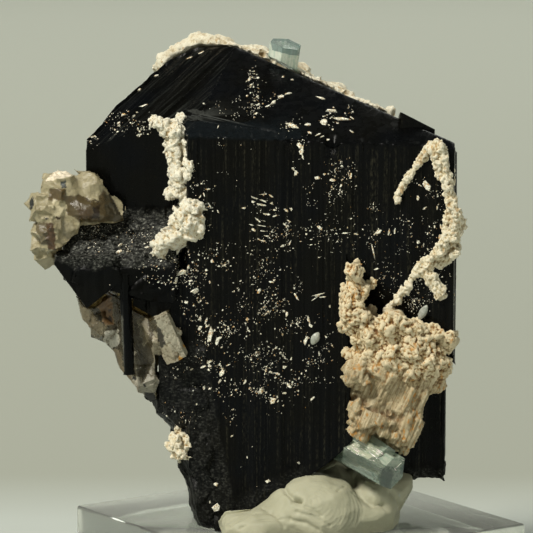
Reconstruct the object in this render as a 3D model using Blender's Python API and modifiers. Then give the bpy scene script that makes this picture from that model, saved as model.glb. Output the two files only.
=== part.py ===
"""A mineral specimen held in putty on a clear square block.

One large black tourmaline carries two aquamarines, albite, feldspar and smoky quartz.
The model is drawn in millimetres and brought to metres when it is finished.
The origin is the centre of the block's underside, +Z is up and -Y is the front.
"""

import math
import random

import bmesh
import bpy
from mathutils import Matrix, Vector, noise

MM = 0.001
GAP = 0.3
CLEARANCE = 0.5

# Display block
BLOCK_SIDE = 38.1
BLOCK_HEIGHT = 12.7
BLOCK_TURN = 34.6
BLOCK_CHAMFER = 0.35

# Black tourmaline: the apex, and the dip and bearing of each end face in degrees
APEX = Vector((-7.5, 6.1, 67.5))
FRONT_END_FACE = (30.5, -97.6)
LEFT_END_FACE = (32.9, -137.3)
RIGHT_END_FACE = (29.0, 22.4)
BACK_END_FACE = (29.0, 142.4)
BACK_EDGE_POINT = Vector((-15.3, 10.0, 65.5))
APEX_CHIP = Vector((-8.5, 7.0, 67.35))
CRYSTAL_FOOT = 10.0
MAIN_CORNERS = [
    (-12.8, -8.3), (5.6, -11.4), (17.5, -13.5), (18.3, -3.0), (14.8, 8.0),
    (6.0, 15.6), (-6.0, 17.6), (-14.5, 13.0), (-15.2, -2.0),
]
LEFT_BLOCK_CORNERS = [
    (-24.8, -0.9), (-14.0, -2.6), (-11.0, 2.0), (-13.0, 12.0), (-15.3, 10.0),
    (-17.6, 8.7), (-21.5, 5.6), (-24.8, 1.3),
]
LEG_CORNERS = [(5.0, -1.5), (11.0, -2.6), (17.2, -2.0), (17.6, 3.5), (13.5, 8.5), (5.5, 9.0)]
LEG_FOOT = 17.0
FLUTE_PITCH = 1.3
FLUTE_DEPTH = 0.35

# The crystal's broken lower end, from its tip up to the right
TIP = Vector((-10.0, -8.8, 12.95))
TIP_SIDE = Vector((-12.7, -6.0, 15.2))
LEFT_UNDERSIDE = Vector((-15.6, -2.0, 24.0))
BREAK_RIGHT = Vector((5.9, -11.5, 24.1))
BREAK_BACK = Vector((-6.0, 12.0, 19.5))

# The hollow at the lower right that the albite fills
HOLLOW_TOP_LEFT = Vector((5.3, -11.4, 46.0))
HOLLOW_TOP_RIGHT = Vector((17.6, -13.5, 37.5))
HOLLOW_FOOT = Vector((12.0, -3.5, 18.0))
HOLLOW_SIDE_LOW = Vector((6.1, -11.5, 24.6))

# Colours are linear, as red, green and blue
BLACK = (0.012, 0.012, 0.013)
CREAM = (0.62, 0.52, 0.38)
PEACH = (0.72, 0.52, 0.36)
PALE_BLUE = (0.38, 0.52, 0.55)
SMOKY = (0.32, 0.24, 0.14)
PUTTY = (0.55, 0.52, 0.44)
CLEAR = (0.80, 0.84, 0.82)


def clear_scene():
    """Start from an empty scene."""
    for obj in list(bpy.data.objects):
        bpy.data.objects.remove(obj, do_unlink=True)


def new_object(name, bm):
    """Turn a bmesh into an object in the scene."""
    bmesh.ops.recalc_face_normals(bm, faces=bm.faces)
    mesh = bpy.data.meshes.new(name)
    bm.to_mesh(mesh)
    bm.free()
    obj = bpy.data.objects.new(name, mesh)
    bpy.context.scene.collection.objects.link(obj)
    return obj


def edit(obj):
    """A bmesh copy of an object's mesh."""
    bm = bmesh.new()
    bm.from_mesh(obj.data)
    return bm


def store(bm, obj):
    """Put an edited bmesh back on its object."""
    bmesh.ops.recalc_face_normals(bm, faces=bm.faces)
    bm.to_mesh(obj.data)
    bm.free()


def bake(obj):
    """Replace an object's mesh with what its modifiers make of it."""
    graph = bpy.context.evaluated_depsgraph_get()
    mesh = bpy.data.meshes.new_from_object(obj.evaluated_get(graph))
    old = obj.data
    obj.modifiers.clear()
    obj.data = mesh
    bpy.data.meshes.remove(old)


def boolean(obj, other, operation):
    """Join or cut an object with another one, which is used up."""
    modifier = obj.modifiers.new("boolean", "BOOLEAN")
    modifier.operation = operation
    modifier.object = other
    bake(obj)
    bpy.data.objects.remove(other, do_unlink=True)


def unite(obj, others):
    """Fuse several bodies into the first one."""
    for other in others:
        boolean(obj, other, "UNION")
    return obj


def duplicate(obj, name):
    """An independent copy of an object."""
    copy = bpy.data.objects.new(name, obj.data.copy())
    bpy.context.scene.collection.objects.link(copy)
    return copy


def keep_largest(obj):
    """Drop the crumbs that a cut can leave loose."""
    bm = edit(obj)
    waiting = set(bm.verts)
    islands = []
    while waiting:
        stack = [waiting.pop()]
        island = list(stack)
        while stack:
            for edge in stack.pop().link_edges:
                for vert in edge.verts:
                    if vert in waiting:
                        waiting.remove(vert)
                        stack.append(vert)
                        island.append(vert)
        islands.append(island)
    islands.sort(key=len)
    for island in islands[:-1]:
        bmesh.ops.delete(bm, geom=island, context="VERTS")
    store(bm, obj)


def dip_normal(face):
    """The outward normal of an end face, from its dip and its bearing."""
    dip = math.radians(face[0])
    bearing = math.radians(face[1])
    flat = math.sin(dip)
    return Vector((flat * math.cos(bearing), flat * math.sin(bearing), math.cos(dip)))


def plane_normal(first, second, third, towards):
    """The normal of the plane through three points, on the side of a fourth."""
    normal = (second - first).cross(third - first).normalized()
    if normal.dot(towards - first) < 0.0:
        normal.negate()
    return normal


def slice_off(obj, point, normal):
    """Remove what lies beyond a plane and close the cut."""
    bm = edit(obj)
    geometry = bm.verts[:] + bm.edges[:] + bm.faces[:]
    cut = bmesh.ops.bisect_plane(
        bm, geom=geometry, dist=1e-5, plane_co=point, plane_no=normal, clear_outer=True)
    edges = [item for item in cut["geom_cut"] if isinstance(item, bmesh.types.BMEdge)]
    bmesh.ops.holes_fill(bm, edges=edges, sides=0)
    store(bm, obj)


def fluted(corners, rng, pitch=FLUTE_PITCH, depth=FLUTE_DEPTH):
    """An outline whose sides carry ridges and grooves, none beyond the corners."""
    points = []
    for start, end in zip(corners, corners[1:] + corners[:1]):
        start = Vector(start)
        side = Vector(end) - start
        inward = Vector((-side.y, side.x)).normalized()
        count = max(1, round(side.length / pitch))
        points.append(start)
        for step in range(1, count):
            along = (step + rng.uniform(-0.3, 0.3)) / count
            points.append(start + side * along + inward * depth * rng.uniform(0.1, 1.0))
    return points


def column(name, outline, low, high):
    """A straight prism over an outline seen from above."""
    curve = bpy.data.curves.new(name, "CURVE")
    curve.dimensions = "2D"
    curve.fill_mode = "BOTH"
    curve.extrude = (high - low) / 2.0
    spline = curve.splines.new("POLY")
    spline.points.add(len(outline) - 1)
    spline.use_cyclic_u = True
    for point, place in zip(spline.points, outline):
        point.co = (place[0], place[1], 0.0, 1.0)
    flat = bpy.data.objects.new(name, curve)
    bpy.context.scene.collection.objects.link(flat)
    flat.location.z = (high + low) / 2.0
    bpy.context.view_layer.update()
    graph = bpy.context.evaluated_depsgraph_get()
    mesh = bpy.data.meshes.new_from_object(flat.evaluated_get(graph))
    mesh.transform(flat.matrix_world)
    bpy.data.objects.remove(flat, do_unlink=True)
    bm = bmesh.new()
    bm.from_mesh(mesh)
    bpy.data.meshes.remove(mesh)
    bmesh.ops.remove_doubles(bm, verts=bm.verts, dist=1e-4)
    bmesh.ops.dissolve_limit(bm, angle_limit=1e-4, verts=bm.verts, edges=bm.edges)
    return new_object(name, bm)


def box(name, low, high):
    """A box between two corners."""
    low = Vector(low)
    high = Vector(high)
    size = high - low
    matrix = Matrix.Translation((low + high) / 2.0) @ Matrix.Diagonal((*size, 1.0))
    bm = bmesh.new()
    bmesh.ops.create_cube(bm, size=1.0, matrix=matrix)
    return new_object(name, bm)


def six_sided(name, foot, head, radius, turn=0.0, stretch=1.0, tip=0.0):
    """A six-sided crystal from its foot to its head, with a blunt or a pointed end."""
    foot = Vector(foot)
    axis = Vector(head) - foot
    rotation = axis.to_track_quat("Z", "Y").to_matrix().to_4x4()
    spin = Matrix.Rotation(math.radians(turn), 4, "Z")
    squash = Matrix.Diagonal((stretch, 1.0, 1.0, 1.0))
    place = Matrix.Translation(foot + axis / 2.0) @ rotation @ spin @ squash
    bm = bmesh.new()
    bmesh.ops.create_cone(
        bm, cap_ends=True, segments=6, radius1=radius, radius2=radius,
        depth=axis.length, matrix=place)
    if tip > 0.0:
        bm.verts.ensure_lookup_table()
        ends = [face for face in bm.faces if face.normal.dot(axis.normalized()) > 0.9]
        poked = bmesh.ops.poke(bm, faces=ends)
        bmesh.ops.translate(bm, verts=poked["verts"], vec=axis.normalized() * tip)
    return new_object(name, bm)


def ball(place, radii, turn=0.0):
    """One rounded seed of a lump."""
    matrix = (
        Matrix.Translation(place)
        @ Matrix.Rotation(math.radians(turn), 4, "Y")
        @ Matrix.Diagonal((*radii, 1.0)))
    bm = bmesh.new()
    bmesh.ops.create_icosphere(bm, subdivisions=3, radius=1.0, matrix=matrix)
    return new_object("ball", bm)


def beads(route, radius, rng, depth=1.0):
    """Balls along a route, uneven in size, for a vein or a crust."""
    return [
        ball(place, (radius * rng.uniform(0.75, 1.2),
                     radius * rng.uniform(0.8, 1.1) * depth,
                     radius * rng.uniform(0.75, 1.2)))
        for place in route]


def spread(points, step):
    """Points set evenly along the straight runs between some places."""
    places = []
    for start, end in zip(points, points[1:]):
        start = Vector(start)
        end = Vector(end)
        count = max(1, round((end - start).length / step))
        places += [start.lerp(end, index / count) for index in range(count)]
    places.append(Vector(points[-1]))
    return places


def roughen(obj, seed, relief, grain):
    """Push the surface in and out by a fractal, to look broken or nodular."""
    bm = edit(obj)
    bm.normal_update()
    shift = Vector((seed * 17.3, seed * 5.1, seed * 9.7))
    moves = []
    for vert in bm.verts:
        value = noise.fractal((vert.co + shift) / grain, 0.9, 2.1, 3)
        moves.append(vert.normal * value * relief)
    for vert, move in zip(bm.verts, moves):
        vert.co += move
    store(bm, obj)


def thin_out(obj, faces):
    """Bring a dense surface down to about a number of triangles."""
    bm = edit(obj)
    bmesh.ops.triangulate(bm, faces=bm.faces)
    store(bm, obj)
    count = len(obj.data.polygons)
    if count > faces:
        modifier = obj.modifiers.new("facets", "DECIMATE")
        modifier.ratio = faces / count
        bake(obj)


def grow_together(name, shapes, voxel, seed, relief, grain, faces):
    """Merge overlapping shapes into one closed body with a rough, faceted skin."""
    bm = bmesh.new()
    for shape in shapes:
        bm.from_mesh(shape.data)
        bpy.data.objects.remove(shape, do_unlink=True)
    obj = new_object(name, bm)
    modifier = obj.modifiers.new("merge", "REMESH")
    modifier.mode = "VOXEL"
    modifier.voxel_size = voxel
    bake(obj)
    roughen(obj, seed, relief, grain)
    thin_out(obj, faces)
    return obj


def swollen(obj, gap=CLEARANCE, voxel=0.5, faces=2000):
    """A copy that stands off the original all round, to cut its neighbours with."""
    copy = duplicate(obj, obj.name + "_clearance")
    modifier = copy.modifiers.new("even", "REMESH")
    modifier.mode = "VOXEL"
    modifier.voxel_size = voxel
    bake(copy)
    bm = edit(copy)
    bm.normal_update()
    moves = [vert.normal * gap for vert in bm.verts]
    for vert, move in zip(bm.verts, moves):
        vert.co += move
    store(bm, copy)
    thin_out(copy, faces)
    return copy


def stand_clear(obj, neighbours):
    """Cut a piece back so that it only just misses its neighbours."""
    for neighbour in neighbours:
        boolean(obj, swollen(neighbour), "DIFFERENCE")
    keep_largest(obj)
    return obj


def rough_slab(name, place, normal, seed, half=34.0, cells=18, relief=0.7, grain=4.0):
    """A thick slab with a broken upper face, to take the lower end off a crystal."""
    bm = bmesh.new()
    bmesh.ops.create_grid(bm, x_segments=cells, y_segments=cells, size=half)
    for vert in bm.verts:
        vert.co.z = relief * noise.noise(Vector((vert.co.x, vert.co.y, seed)) / grain)
    solid = bmesh.ops.extrude_face_region(bm, geom=bm.faces[:])
    lower = [item for item in solid["geom"] if isinstance(item, bmesh.types.BMVert)]
    for vert in lower:
        vert.co.z = -half
    rotation = normal.to_track_quat("Z", "X").to_matrix().to_4x4()
    bmesh.ops.transform(bm, verts=bm.verts, matrix=Matrix.Translation(place) @ rotation)
    return new_object(name, bm)


def main_column():
    """The large crystal: fluted sides, four end faces and a broken foot."""
    rng = random.Random(11)
    crystal = column("schorl_crystal", fluted(MAIN_CORNERS, rng), CRYSTAL_FOOT, 72.0)
    slice_off(crystal, APEX, dip_normal(FRONT_END_FACE))
    slice_off(crystal, APEX, dip_normal(LEFT_END_FACE))
    slice_off(crystal, APEX, dip_normal(RIGHT_END_FACE))
    slice_off(crystal, BACK_EDGE_POINT, dip_normal(BACK_END_FACE))
    slice_off(crystal, APEX_CHIP, Vector((0.10, 0.22, 0.97)).normalized())
    slice_off(crystal, TIP_SIDE, Vector((-0.78, -0.1, -0.62)).normalized())
    slice_off(crystal, LEFT_UNDERSIDE, Vector((-0.88, -0.1, -0.47)).normalized())
    up = plane_normal(TIP, BREAK_RIGHT, BREAK_BACK, APEX)
    boolean(crystal, rough_slab("broken_foot", TIP, up, seed=3.0), "DIFFERENCE")
    return crystal


def left_block():
    """The part of the crystal that stands back at the upper left."""
    rng = random.Random(12)
    block = column("left_block", fluted(LEFT_BLOCK_CORNERS, rng, depth=0.25), 38.0, 72.0)
    slice_off(block, APEX, dip_normal(LEFT_END_FACE))
    slice_off(block, BACK_EDGE_POINT, dip_normal(BACK_END_FACE))
    under = Vector((-0.45, -0.1, -0.9)).normalized()
    slice_off(block, Vector((-24.8, 1.0, 44.0)), under)
    return block


def right_leg():
    """The striated column that runs down behind the albite."""
    rng = random.Random(13)
    leg = column("right_leg", fluted(LEG_CORNERS, rng, depth=0.4), LEG_FOOT - 3.0, 48.0)
    up = Vector((0.05, 0.12, 1.0)).normalized()
    place = Vector((12.0, 2.0, LEG_FOOT))
    slab = rough_slab("leg_foot", place, up, 7.0, half=14.0, cells=10, relief=0.8, grain=2.5)
    boolean(leg, slab, "DIFFERENCE")
    return leg


def albite_hollow():
    """The wedge taken out of the front where the albite sits."""
    wedge = box("hollow", (4.0, -20.0, 10.0), (26.0, 4.0, 50.0))
    inside = Vector((12.0, 10.0, 40.0))
    back = plane_normal(HOLLOW_TOP_LEFT, HOLLOW_TOP_RIGHT, HOLLOW_FOOT, inside)
    slice_off(wedge, HOLLOW_TOP_LEFT, back)
    side_back = Vector((6.4, 0.0, 24.6))
    side = plane_normal(HOLLOW_TOP_LEFT, HOLLOW_SIDE_LOW, side_back, Vector((-20.0, -10.0, 30.0)))
    slice_off(wedge, HOLLOW_TOP_LEFT, side)
    return wedge


def left_shoulder():
    """The striated front carried on to the left, below the ledge."""
    rng = random.Random(15)
    outline = [(-16.3, -7.7), (-12.0, -8.45), (-9.0, 2.0), (-15.8, 4.0)]
    shoulder = column("left_shoulder", fluted(outline, rng), 24.0, 43.0)
    slice_off(shoulder, Vector((-16.6, -5.0, 27.0)), Vector((-0.55, -0.3, -0.78)).normalized())
    return shoulder


def lower_left():
    """The rough dark mass at the lower left, down to the tip."""
    shapes = [
        ball((-12.2, -2.4, 27.8), (5.0, 6.4, 5.2)),
        ball((-10.7, -3.0, 21.8), (3.9, 5.9, 6.0)),
        ball((-10.2, -4.4, 17.2), (2.8, 4.6, 4.2)),
    ]
    return grow_together("lower_left", shapes, 0.5, 4.0, 0.5, 2.2, 360)


def ledge():
    """The rough shelf that sticks out to the left."""
    slab = box("slab", (-27.6, -9.0, 39.6), (-14.0, 1.0, 49.0))
    slice_off(slab, Vector((-20.0, -3.0, 47.5)), Vector((-0.06, -0.50, 0.86)).normalized())
    slice_off(slab, Vector((-21.0, -8.0, 40.5)), Vector((-0.25, -0.1, -1.0)).normalized())
    slice_off(slab, Vector((-26.8, -6.0, 44.0)), Vector((-1.0, -0.35, 0.1)).normalized())
    return grow_together("ledge", [slab], 0.45, 5.0, 0.5, 1.6, 330)


def shard():
    """The fang of black crystal under the left end of the ledge."""
    fang = box("shard", (-28.4, -9.2, 38.5), (-20.6, -3.0, 45.0))
    low = Vector((-24.4, -7.0, 38.7))
    slice_off(fang, low, Vector((-0.80, 0.0, -0.60)))
    slice_off(fang, low, Vector((0.62, -0.1, -0.78)).normalized())
    slice_off(fang, Vector((-24.5, -8.8, 42.0)), Vector((-0.35, -0.93, -0.1)).normalized())
    return fang


def needle():
    """The thin prism that hangs in front of the smoky quartz."""
    return six_sided("needle", (-20.1, -8.6, 43.0), (-19.6, -8.9, 31.2), 0.75, turn=15.0)


def small_prism():
    """The short striated prism beside the needle."""
    rng = random.Random(14)
    outline = [(-19.2, -7.8), (-16.4, -8.6), (-13.0, -7.9), (-13.0, -2.0), (-18.8, -3.0)]
    prism = column("small_prism", fluted(outline, rng, 0.7, 0.2), 36.6, 43.0)
    slice_off(prism, Vector((-18.5, -6.0, 38.5)), Vector((-0.5, -0.1, -0.9)).normalized())
    return prism


def back_step():
    """The low step behind the right-hand end of the top edge."""
    step = box("back_step", (11.4, -9.5, 57.0), (15.4, -3.0, 62.0))
    normal = dip_normal(RIGHT_END_FACE)
    slice_off(step, APEX + normal * 0.6, normal)
    return step


def schorl_crystal():
    """The black tourmaline, all of it grown together."""
    crystal = main_column()
    unite(crystal, [left_block(), right_leg()])
    boolean(crystal, albite_hollow(), "DIFFERENCE")
    nub = ball((-17.3, -4.6, 27.9), (0.9, 0.9, 0.7))
    unite(crystal, [left_shoulder(), lower_left(), ledge(), shard(), needle()])
    unite(crystal, [small_prism(), back_step(), nub])
    slice_off(crystal, Vector((0.0, 0.0, BLOCK_HEIGHT + GAP)), Vector((0.0, 0.0, -1.0)))
    keep_largest(crystal)
    return crystal


def acrylic_base():
    """The clear square block, turned under the specimen."""
    half = BLOCK_SIDE / 2.0
    block = box("acrylic_base", (-half, -half, 0.0), (half, half, BLOCK_HEIGHT))
    modifier = block.modifiers.new("edges", "BEVEL")
    modifier.width = BLOCK_CHAMFER
    modifier.segments = 1
    bake(block)
    block.data.transform(Matrix.Rotation(math.radians(BLOCK_TURN), 4, "Z"))
    return block


def aquamarine_lower():
    """A bundle of parallel six-sided prisms that points down to the right."""
    axis = Vector((0.66, -0.68, -0.26)).normalized()
    head = Vector((10.6, -14.2, 20.7))
    across = Vector((-0.1, 0.25, 0.9)).normalized()
    main = six_sided("aquamarine_lower", head - axis * 8.4, head, 2.1, turn=8.0)
    upper = six_sided("upper", head - axis * 8.0 + across * 1.7, head - axis * 0.8 + across * 1.4, 1.35)
    under = six_sided("under", head - axis * 8.8 - across * 1.1, head - axis * 3.6 - across * 1.0, 1.3)
    side = six_sided("side", head - axis * 4.0 + Vector((1.5, 0.8, 0.7)),
                     head - axis * 0.9 + Vector((1.5, 0.8, 0.7)), 0.9)
    return unite(main, [upper, under, side])


def aquamarine_top():
    """The single prism that stands behind the top edge."""
    foot = Vector((-2.3, 3.9, 63.2))
    head = foot + Vector((0.14, -0.18, 0.97)).normalized() * 5.2
    prism = six_sided("aquamarine_top", foot, head, 2.0, turn=12.0)
    slice_off(prism, head, Vector((0.24, -0.20, 0.95)).normalized())
    normal = dip_normal(RIGHT_END_FACE)
    slice_off(prism, APEX + normal * GAP * 1.5, -normal)
    return prism


def albite_mass():
    """The mass that fills the hollow: knobs above, blades running down below."""
    rng = random.Random(21)
    outline = [
        (6.5, -12.4), (9.0, -13.7), (12.5, -14.1), (15.4, -13.5), (16.6, -11.4),
        (15.0, -4.0), (9.0, -2.5), (6.5, -5.0),
    ]
    blades = column("blades", fluted(outline, rng, 0.9, 0.9), 20.0, 40.0)
    slice_off(blades, Vector((13.9, -9.0, 24.4)), Vector((0.94, -0.05, -0.22)).normalized())
    slice_off(blades, Vector((12.3, -9.0, 21.9)), Vector((0.72, -0.05, -0.69)).normalized())
    slice_off(blades, Vector((10.6, -12.0, 23.4)), Vector((-0.25, -0.55, -0.80)).normalized())
    slice_off(blades, Vector((11.0, -9.0, 37.5)), Vector((0.2, 0.3, 0.93)).normalized())
    knobs = [
        ((6.3, -11.6, 43.2), 1.3), ((6.2, -12.0, 41.0), 1.7), ((6.4, -12.4, 38.4), 2.2),
        ((8.0, -12.6, 36.6), 2.4), ((10.4, -12.8, 36.8), 2.2), ((12.6, -13.1, 35.4), 2.2),
        ((14.4, -12.8, 33.8), 2.1), ((15.8, -12.0, 34.2), 1.6), ((16.2, -11.6, 32.4), 1.5),
        ((16.0, -11.2, 30.6), 1.2), ((7.2, -12.0, 33.0), 2.2), ((9.8, -12.6, 33.0), 2.8),
        ((8.2, -12.2, 27.4), 2.1), ((7.4, -11.6, 25.0), 1.5), ((10.0, -11.9, 25.6), 1.9),
    ]
    balls = [ball(place, (radius, radius * 0.8, radius)) for place, radius in knobs]
    return grow_together("albite_mass", [blades] + balls, 0.45, 6.0, 0.45, 1.8, 1080)


def albite_vein_right():
    """The vein along the right edge: a tent at the top, a band and a branch."""
    rng = random.Random(22)
    left_leg = spread([(15.0, -13.3, 58.2), (12.9, -12.9, 55.2), (10.9, -12.6, 52.0)], 0.8)
    right_leg_route = spread([
        (15.6, -13.4, 58.4), (17.0, -13.7, 54.2), (17.8, -13.5, 50.4),
        (18.0, -13.4, 46.8), (17.6, -13.2, 44.0)], 0.9)
    band = spread([
        (17.6, -13.4, 49.2), (15.8, -13.4, 46.4), (13.6, -13.1, 44.6),
        (12.4, -12.9, 42.4), (11.3, -12.7, 40.6)], 0.9)
    branch = spread([(14.2, -13.2, 44.8), (15.4, -13.4, 42.6), (16.1, -13.5, 41.0)], 0.9)
    shapes = beads(left_leg, 0.65, rng)
    shapes += beads(right_leg_route, 1.05, rng)
    shapes += beads(band, 0.85, rng)
    shapes += beads(branch, 0.75, rng)
    return grow_together("albite_vein_right", shapes, 0.3, 7.0, 0.25, 1.0, 800)


def albite_vein_left():
    """The vein in the corner between the main crystal and its left block."""
    rng = random.Random(23)
    upper = spread([
        (-15.4, -5.6, 59.6), (-14.2, -6.2, 58.8), (-13.8, -6.4, 55.4),
        (-13.4, -6.6, 52.8), (-14.6, -6.0, 50.6)], 1.1)
    lower = spread([
        (-14.2, -6.6, 50.4), (-12.2, -8.0, 50.4), (-12.8, -8.0, 48.6),
        (-14.6, -7.6, 47.2), (-16.4, -7.6, 45.4)], 1.1)
    shapes = beads(upper, 1.5, rng)
    shapes += beads(lower, 1.3, rng)
    return grow_together("albite_vein_left", shapes, 0.35, 8.0, 0.3, 1.2, 800)


def feldspar_crust():
    """The crust on the back end faces, just above the top edge."""
    rng = random.Random(24)
    ridge = spread([(-8.0, 9.0, 66.7), (-4.0, 5.4, 65.3), (-1.0, 4.2, 64.4), (2.4, 2.0, 63.6)], 1.3)
    end = spread([(8.0, -1.6, 61.0), (9.6, -3.9, 60.7), (11.2, -5.0, 60.3)], 1.2)
    back = [
        ((-15.8, 12.0, 65.2), (2.0, 2.2, 1.7)),
        ((-13.0, 12.8, 66.4), (2.7, 2.6, 2.1)),
        ((-9.8, 12.2, 67.0), (3.0, 3.0, 2.0)),
        ((-5.6, 10.6, 66.0), (3.6, 3.4, 2.0)),
        ((-1.4, 9.4, 64.2), (3.6, 3.4, 2.2)),
        ((3.0, 6.4, 62.2), (3.6, 3.6, 2.0)),
        ((7.0, 2.4, 60.7), (3.4, 3.6, 1.7)),
    ]
    shapes = beads(ridge, 1.4, rng) + beads(end, 1.1, rng)
    shapes += [ball(place, radii) for place, radii in back]
    return grow_together("feldspar_crust", shapes, 0.45, 9.0, 0.35, 1.8, 740)


def left_quartz():
    """The cream and brown lump on the far left of the ledge."""
    knobs = [
        ((-24.2, -1.6, 52.0), (2.6, 2.8, 2.4)), ((-27.2, -2.4, 51.6), (2.6, 3.0, 2.4)),
        ((-29.2, -2.8, 49.6), (1.9, 2.6, 2.0)), ((-28.2, -3.6, 46.6), (2.1, 2.8, 3.0)),
        ((-26.6, -4.6, 44.2), (1.4, 2.0, 1.8)), ((-24.6, -2.8, 49.0), (3.4, 3.4, 2.8)),
        ((-21.6, -2.2, 49.0), (2.2, 2.0, 2.6)), ((-26.2, 1.0, 48.4), (3.2, 3.4, 4.0)),
    ]
    shapes = [ball(place, radii) for place, radii in knobs]
    return grow_together("left_quartz", shapes, 0.45, 10.0, 0.45, 2.0, 740)


def smoky_quartz():
    """The clear brown cluster between the ledge and the lower left mass."""
    front = Vector((-0.30, -0.92, -0.25)).normalized()
    lower = box("smoky_quartz", (-22.4, -7.6, 26.8), (-13.4, 0.6, 41.0))
    slice_off(lower, Vector((-20.9, -5.0, 31.2)), Vector((-0.74, -0.1, -0.66)).normalized())
    slice_off(lower, Vector((-21.3, -5.0, 32.6)), Vector((-0.96, -0.1, -0.26)).normalized())
    slice_off(lower, Vector((-17.2, -5.0, 27.2)), Vector((0.48, -0.1, -0.87)).normalized())
    slice_off(lower, Vector((-20.0, -7.2, 34.0)), front)
    upper = box("upper", (-25.9, -7.0, 32.8), (-18.0, 0.0, 41.0))
    slice_off(upper, Vector((-23.2, -5.0, 34.9)), Vector((-0.70, -0.1, -0.71)).normalized())
    slice_off(upper, Vector((-25.4, -5.0, 38.0)), Vector((-0.97, -0.1, -0.2)).normalized())
    slice_off(upper, Vector((-22.0, -6.8, 37.0)), Vector((-0.45, -0.88, -0.1)).normalized())
    point = six_sided("point", (-17.8, -4.4, 38.2), (-15.1, -8.8, 34.8), 2.3, turn=20.0, tip=1.2)
    low = six_sided("low", (-18.4, -3.6, 34.0), (-17.0, -7.4, 29.4), 1.9, turn=5.0, tip=0.9)
    left = six_sided("left", (-22.4, -3.0, 38.6), (-22.5, -7.0, 35.8), 1.9, turn=0.0, tip=1.0)
    return unite(lower, [upper, point, low, left])


def feldspar_patch():
    """The flat crystal set in the surface at the lower left."""
    shapes = [ball((-14.3, -7.2, 22.3), (1.6, 1.4, 1.7)), ball((-13.4, -7.9, 21.6), (1.0, 0.9, 1.2))]
    return grow_together("feldspar_patch", shapes, 0.2, 12.0, 0.15, 1.0, 120)


def mounting_putty():
    """The putty pressed between the crystal's foot and the block."""
    lobes = [
        ((2.2, -9.6, 15.0), (6.4, 5.4, 4.7)), ((-4.0, -10.2, 13.8), (7.0, 4.6, 2.6)),
        ((7.4, -7.0, 15.2), (5.0, 6.0, 3.9)), ((11.2, -3.2, 15.0), (3.3, 5.6, 3.9)),
        ((0.0, 0.0, 15.0), (12.0, 9.4, 4.4)), ((-8.4, -3.0, 14.2), (5.2, 6.0, 3.6)),
        ((-4.0, 3.6, 15.4), (8.8, 7.6, 5.0)),
    ]
    shapes = [ball(place, radii) for place, radii in lobes]
    putty = grow_together("mounting_putty", shapes, 0.6, 13.0, 0.3, 5.0, 800)
    slice_off(putty, Vector((0.0, 0.0, BLOCK_HEIGHT + GAP)), Vector((0.0, 0.0, -1.0)))
    return putty


def finish(obj, colour, roughness, collection):
    """Bring a piece to metres, give it its own material and file it."""
    obj.data.transform(Matrix.Scale(MM, 4))
    material = bpy.data.materials.new(obj.name)
    material.use_nodes = True
    shader = material.node_tree.nodes["Principled BSDF"]
    shader.inputs["Base Color"].default_value = (*colour, 1.0)
    shader.inputs["Roughness"].default_value = roughness
    shader.inputs["Metallic"].default_value = 0.0
    obj.data.materials.clear()
    obj.data.materials.append(material)
    for owner in list(obj.users_collection):
        owner.objects.unlink(obj)
    collection.objects.link(obj)


def build():
    """Model every piece, cut each one clear of those it grew on, and file them."""
    clear_scene()
    collection = bpy.data.collections.new("aquamarine_specimen")
    bpy.context.scene.collection.children.link(collection)

    crystal = schorl_crystal()
    lower_gem = stand_clear(aquamarine_lower(), [crystal])
    top_gem = aquamarine_top()
    mass = stand_clear(albite_mass(), [crystal, lower_gem])
    right_vein = stand_clear(albite_vein_right(), [crystal, mass])
    left_vein = stand_clear(albite_vein_left(), [crystal])
    crust = stand_clear(feldspar_crust(), [crystal, top_gem])
    lump = stand_clear(left_quartz(), [crystal])
    cluster = stand_clear(smoky_quartz(), [crystal, lump])
    patch = stand_clear(feldspar_patch(), [crystal])
    putty = stand_clear(mounting_putty(), [crystal, lower_gem, mass, patch])

    finish(acrylic_base(), CLEAR, 0.05, collection)
    finish(putty, PUTTY, 0.7, collection)
    finish(crystal, BLACK, 0.25, collection)
    finish(lower_gem, PALE_BLUE, 0.08, collection)
    finish(top_gem, PALE_BLUE, 0.12, collection)
    finish(mass, PEACH, 0.6, collection)
    finish(right_vein, CREAM, 0.55, collection)
    finish(left_vein, CREAM, 0.55, collection)
    finish(crust, CREAM, 0.6, collection)
    finish(lump, CREAM, 0.35, collection)
    finish(cluster, SMOKY, 0.15, collection)
    finish(patch, CREAM, 0.6, collection)


build()
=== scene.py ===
"""The looks of a mineral specimen held in putty on a clear square block.

Black tourmaline carries two aquamarines, albite, feldspar, milky and smoky quartz.
Shapes are worked out in millimetres and brought to metres when a piece is finished.
The frame's origin is the centre of the block's underside, +Z is up and -Y is the front.
"""

import itertools
import math
import random
from collections import namedtuple

import bmesh
import bpy
import numpy as np
from mathutils import Matrix, Vector, noise
from mathutils.bvhtree import BVHTree


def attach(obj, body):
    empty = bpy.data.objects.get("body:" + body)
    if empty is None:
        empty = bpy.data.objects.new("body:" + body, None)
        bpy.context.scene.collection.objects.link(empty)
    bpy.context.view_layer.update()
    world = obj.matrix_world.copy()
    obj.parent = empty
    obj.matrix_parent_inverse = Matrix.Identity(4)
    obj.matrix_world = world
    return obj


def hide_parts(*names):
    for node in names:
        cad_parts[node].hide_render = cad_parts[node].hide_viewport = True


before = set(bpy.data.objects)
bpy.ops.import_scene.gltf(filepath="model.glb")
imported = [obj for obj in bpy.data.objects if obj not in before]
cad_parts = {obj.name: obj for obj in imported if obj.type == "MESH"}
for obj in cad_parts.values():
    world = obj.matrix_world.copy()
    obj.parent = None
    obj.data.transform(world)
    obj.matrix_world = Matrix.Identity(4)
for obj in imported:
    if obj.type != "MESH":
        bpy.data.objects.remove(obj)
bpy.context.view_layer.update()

# The same noise in every run
noise.seed_set(7)

MM = 0.001

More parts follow.
